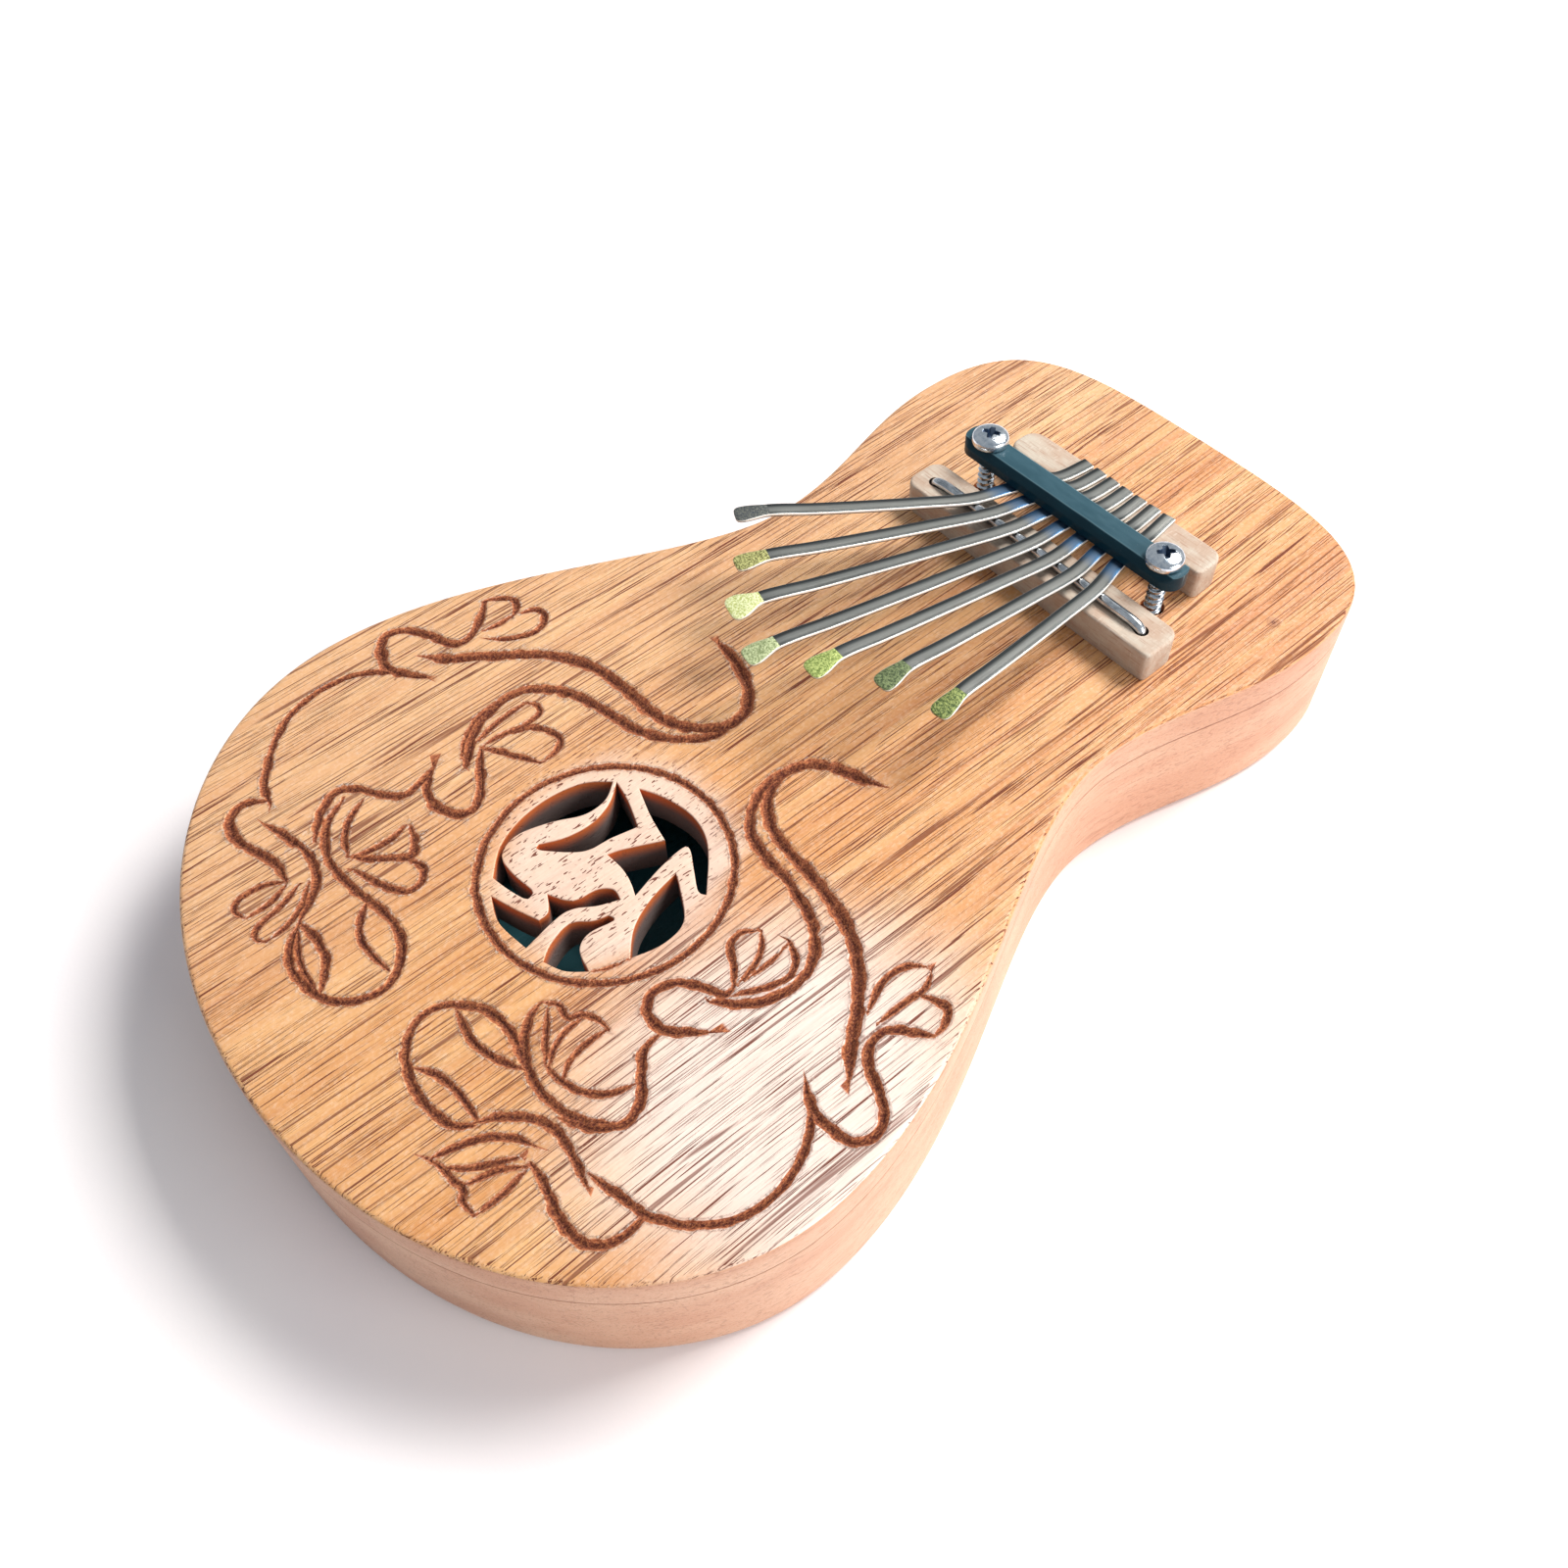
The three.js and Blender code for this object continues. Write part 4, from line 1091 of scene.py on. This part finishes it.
def cross_cutter(top, turn):
    """A tapered cross, which cuts the recess."""
    reach, half, depth = RECESS["reach"], RECESS["half"], RECESS["depth"]

    def ring(scale, thick, z):
        a, b = reach * scale, half * thick
        plan = [(a, -b), (a, b), (b * 1.3, b * 1.3), (b, a), (-b, a), (-b * 1.3, b * 1.3), (-a, b), (-a, -b),
                (-b * 1.3, -b * 1.3), (-b, -a), (b, -a), (b * 1.3, -b * 1.3)]
        c, s = math.cos(turn), math.sin(turn)
        return np.array([(x * c - y * s, x * s + y * c, z) for x, y in plan])

    pieces = Pieces("edge")
    rings = [ring(0.25, 0.5, top - depth), ring(0.6, 0.75, top - depth * 0.4), ring(1.08, 1.05, top + 0.5)]
    # the recess walls are marked edge, which the zinc paints as dark blue painted shade
    pieces.rows(rings, ends=True, edge=[[1.0], [1.0], [1.0]])
    return pieces.build("cutter", bpy.data.materials[0])


def make_screw(side, turn, material):
    node = "clamp_screw_" + side
    low, high = box_mm(node)
    x, y = (low.x + high.x) / 2, (low.y + high.y) / 2
    head = (high.x - low.x) / 2
    bar_top = box_mm("pressure_bar")[1].z
    rise = high.z - bar_top - HEAD_SINK
    profile = [(0.02, 0), (head - 0.3, 0), (head - 0.08, 0.1), (head, 0.32), (head * 0.99, HEAD_RIM)]
    profile += [(head * math.sin(a), HEAD_RIM + (rise - HEAD_RIM) * math.cos(a) ** 0.75)
                for a in np.radians(np.linspace(78, 1, 16))]
    around = np.arange(72) * 2 * math.pi / 72
    pieces = Pieces("edge")
    pieces.rows([np.column_stack([r * np.cos(around), r * np.sin(around), np.full(72, z)])
                 for r, z in profile], ends=True)
    screw = pieces.build("pan_head_" + side, material, smooth=40)
    cut_away(screw, cross_cutter(rise, turn), 40, "edge")
    screw.data.transform(Matrix.Translation(Vector((x, y, bar_top)) * MM))
    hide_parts(node)
    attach(screw, "box")
    make_thread(side, x, y, low.z, bar_top, material)


def make_thread(side, x, y, low, high, material):
    """Threaded shank: its radius follows a sharp ridge that winds down to the point."""
    sides, step = 28, 0.11
    angles = np.arange(sides) * 2 * math.pi / sides
    rows, marks = [], []
    for z in np.arange(low + 0.05, high, step):
        phase = (z / THREAD_PITCH - angles / (2 * math.pi)) % 1
        ridge = np.clip(1 - np.abs(phase - 0.5) / 0.3, 0, 1)
        radius = THREAD_CORE + (THREAD_CREST - THREAD_CORE) * ridge
        radius *= min(1, 0.12 + (z - low) / POINT_LENGTH)
        rows.append(np.column_stack([x + radius * np.cos(angles), y + radius * np.sin(angles),
                                     np.full(sides, z)]))
        # the valleys between the ridges are marked edge, which the zinc paints as painted shade
        marks.append(0.2 * (1 - ridge))
    pieces = Pieces("edge")
    pieces.rows(rows, ends=True, edge=marks)
    thread = pieces.build("screw_thread_" + side, material, smooth=60)
    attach(thread, "box")


# ---- tines ----
TINE_WIDTH = 2.75
TINE_THICKNESS = 0.8
TINE_ROUND = 0.16                      # rounding of a tine's long edges
TINE_CROWN = 0.05                      # how much its top face bulges
TIP_PATCH = 6.05                       # length of the flattened tip, which carries a painted reflection
TIP_THIN = 0.25                        # share of the thickness that the tip loses
END_START, END_POWER = 0.74, 2.8       # where the tip's end starts to round off, and how squarely
STATION = 0.6                          # spacing of the sections along a tine
TAIL_REACH = 0.2                       # how far the tail runs on past its CAD middle line


def slice_middle(node, y):
    """Middle of a CAD strip where the plane at y cuts it."""
    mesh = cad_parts[node].data
    found = []
    for edge in mesh.edges:
        a, b = (mesh.vertices[i].co / MM for i in edge.vertices)
        if (a.y - y) * (b.y - y) < 0:
            found.append(a.lerp(b, (y - a.y) / (b.y - a.y)))
    xs, zs = [p.x for p in found], [p.z for p in found]
    return np.array([(min(xs) + max(xs)) / 2, y, (min(zs) + max(zs)) / 2])


def tine_line(number, wire_top):
    """Middle line of a whole tine from tail to tip, and the width of its flared tip."""
    clamped, free = f"tine_{number}_clamped", f"tine_{number}_free"
    half = TINE_THICKNESS / 2
    wire_low, wire_high = box_mm("saddle_rod")
    wire_y = (wire_low.y + wire_high.y) / 2
    rear_low, rear_high = box_mm("rear_bridge")
    bar_low, bar_high = box_mm("pressure_bar")
    tail_y = box_mm(clamped)[1].y - 0.9
    held = [(tail_y, rear_high.z), (rear_low.y + 0.4, rear_high.z), (bar_high.y, bar_low.z - 2 * half),
            (bar_low.y, bar_low.z - 2 * half)]
    line = []
    for y, under in held:
        line.append([slice_middle(clamped, y)[0], y, under + half])
    tail, ahead = np.array(line[0]), np.array(line[1])
    line[0] = list(tail + (tail - ahead) * TAIL_REACH)
    saddle = (slice_middle(clamped, wire_y + 1.2) + slice_middle(free, wire_y - 1.2)) / 2
    drop = saddle[2] - wire_top - half
    line.append([saddle[0], wire_y, saddle[2] - drop])
    tip_y = box_mm(free)[0].y
    near, far = slice_middle(free, tip_y + 2.7), slice_middle(free, tip_y + 4.1)
    ahead = (near - far) / np.linalg.norm(near - far)
    corners = np.array([v.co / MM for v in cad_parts[free].data.vertices])
    end = near + ahead * ((corners - near) @ ahead).max()
    bend = end - ahead * TIP_PATCH
    side = np.array([ahead[1], -ahead[0], 0]) / math.hypot(*ahead[:2])
    in_tip = corners[(corners - bend) @ ahead > 0]
    flare = np.ptp(in_tip @ side)
    for share in (0.28, 0.55, 0.8):
        point = slice_middle(free, wire_y + (bend[1] - wire_y) * share)
        line.append(list(point - np.array([0, 0, drop * (1 - share)])))
    line.append(list(bend))
    line.append(list(end))
    return spline(line, 0.25), flare


def tine_section(half, thick):
    """Outline of a flat strip with rounded long edges.

    Each point is across, up, share of the painted highlight on the upper edge, share of the painted shade on
    the lower edge.
    """
    r = min(TINE_ROUND, half * 0.5)
    upper = []
    for k in range(4):
        angle = math.pi / 2 * k / 3
        up = thick / 2 - TINE_CROWN - r + r * math.sin(angle)
        upper.append((half - r + r * math.cos(angle), up, 1 - k / 3, 0.0))
    for share in (0.66, 0.33, 0.0, -0.33, -0.66):
        upper.append(((half - r) * share, thick / 2 - TINE_CROWN * share ** 2, 0.0, 0.0))
    upper += [(-point[0],) + point[1:] for point in upper[:4][::-1]]
    lower = [(half - r, -thick / 2, 0.0, 1.0), (half, -thick / 2 + r, 0.0, 1.0)]
    return upper + [(-point[0],) + point[1:] for point in lower[::-1]] + lower


def make_tine(number, wire_top, material):
    line, flare = tine_line(number, wire_top)
    run = np.concatenate([[0], np.cumsum(np.linalg.norm(np.diff(line, axis=0), axis=1))])
    total = run[-1]
    stations = list(np.arange(0.12, total - TIP_PATCH, STATION)) + [total - TIP_PATCH - 0.04]
    stations += list(total - TIP_PATCH * (1 - np.linspace(0.002, END_START, 12)))
    stations += [total - TIP_PATCH * (1 - END_START) * (1 - math.sin(a))
                 for a in np.linspace(0.12, math.pi / 2 - 0.01, 12)]
    stations = [0.0] + stations
    ahead_all = np.gradient(line, axis=0)
    rows, marks = [], {"tip": [], "edge": [], "under": [], "across": [], "run": []}
    for at in stations:
        middle = np.array([np.interp(at, run, line[:, k]) for k in range(3)])
        ahead = np.array([np.interp(at, run, ahead_all[:, k]) for k in range(3)])
        ahead /= np.linalg.norm(ahead)
        side = np.cross(ahead, (0, 0, 1))
        side /= np.linalg.norm(side)
        normal = np.cross(side, ahead)
        share = max(0.0, 1 - (total - at) / TIP_PATCH)
        open_share = min(1.0, share / 0.7)
        open_share = open_share ** 2 * (3 - 2 * open_share)
        width = TINE_WIDTH + (flare - TINE_WIDTH) * open_share
        thick = TINE_THICKNESS * (1 - TIP_THIN * share)
        if share > END_START:
            u = min(1.0, (share - END_START) / (1 - END_START))
            width *= 0.3 + 0.7 * (1 - u ** END_POWER) ** (1 / END_POWER)
            thick *= 1 - 0.3 * u ** 6
        if at == 0.0:
            width, thick = width - 0.24, thick * 0.75
        section = tine_section(width / 2, thick)
        rows.append(np.array([middle + side * point[0] + normal * point[1] for point in section]))
        # the painted highlight on the upper edges is halved on the rounded end; the lower edges carry the
        # painted shade
        edge_highlight_share = 0.5 if share > END_START else 1.0
        marks["edge"].append([point[2] * edge_highlight_share for point in section])
        marks["under"].append([point[3] for point in section])
        marks["across"].append([point[0] for point in section])
        marks["run"].append([at + number * 37.0])
        marks["tip"].append([1.0 if share > 0 else 0.0])
    pieces = Pieces(*marks)
    pieces.rows(rows, ends=True, **marks)
    tine = pieces.build(f"steel_tine_{number}", material, smooth=22)
    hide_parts(f"tine_{number}_clamped", f"tine_{number}_free")
    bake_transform(tine)


# ---- floor and lights ----
FLOOR_RADIUS = 1500


def make_floor():
    look = Look("floor_paper", Roughness=0.85, Specular_IOR_Level=0.2)
    place = look.place()
    paper = look.noise(place, (0.02, 0.02, 0.02), detail=3)
    fibre = look.noise(place, (1.5, 1.5, 1.5), detail=2)
    look.set(Base_Color=look.mix(look.band(paper, 0.3, 0.7), colour(250, 246, 246), colour(246, 241, 243)))
    look.bump((fibre, 0.02))
    floor = Pieces()
    around = np.arange(64) * 2 * math.pi / 64
    floor.add([(FLOOR_RADIUS * math.cos(a), FLOOR_RADIUS * math.sin(a), BODY_LOW.z - 0.05) for a in around],
              [range(64)])
    floor = floor.build("floor", look.material)


def make_light(name, place, aim, size, power, tint):
    data = bpy.data.lights.new(name, "AREA")
    data.shape, data.size, data.size_y = "RECTANGLE", size[0], size[1]
    data.energy, data.color = power, tint
    light = bpy.data.objects.new(name, data)
    light.location = place
    light.rotation_euler = (Vector(aim) - Vector(place)).to_track_quat("-Z", "Y").to_euler()
    bpy.context.scene.collection.objects.link(light)


def make_lights():
    world = bpy.data.worlds.new("studio")
    world.use_nodes = True
    sky = world.node_tree.nodes["Background"]
    sky.inputs["Color"].default_value = (0.86, 0.93, 1.0, 1)
    sky.inputs["Strength"].default_value = 0.42
    bpy.context.scene.world = world
    make_light("key", (0.16, 0.87, 1.08), (0, 0, 0.03), (0.6, 0.5), 24.5, (1.0, 0.97, 0.93))
    make_light("fill", (1.1, 0.3, 0.45), (0, 0, 0.02), (0.8, 0.8), 9.5, (1.0, 0.97, 0.95))


make_camera()
make_floor()
make_lights()
top_wood, body_wood, pale_wood = board_wood(), side_wood(), bridge_wood()
make_soundboard(top_wood, body_wood)
make_body(body_wood)
saddle_line, wire_height = make_rod(rod_steel())
for bridge_node in ("front_bridge", "rear_bridge"):
    make_bridge(bridge_node, pale_wood, saddle_line)
make_bar(bar_paint())
zinc = zinc_plate()
for screw_side, screw_turn in (("left", 0.5), ("right", 0.9)):
    make_screw(screw_side, screw_turn, zinc)
for tine_number in TINES:
    make_tine(tine_number, wire_height, tine_steel(tine_number))
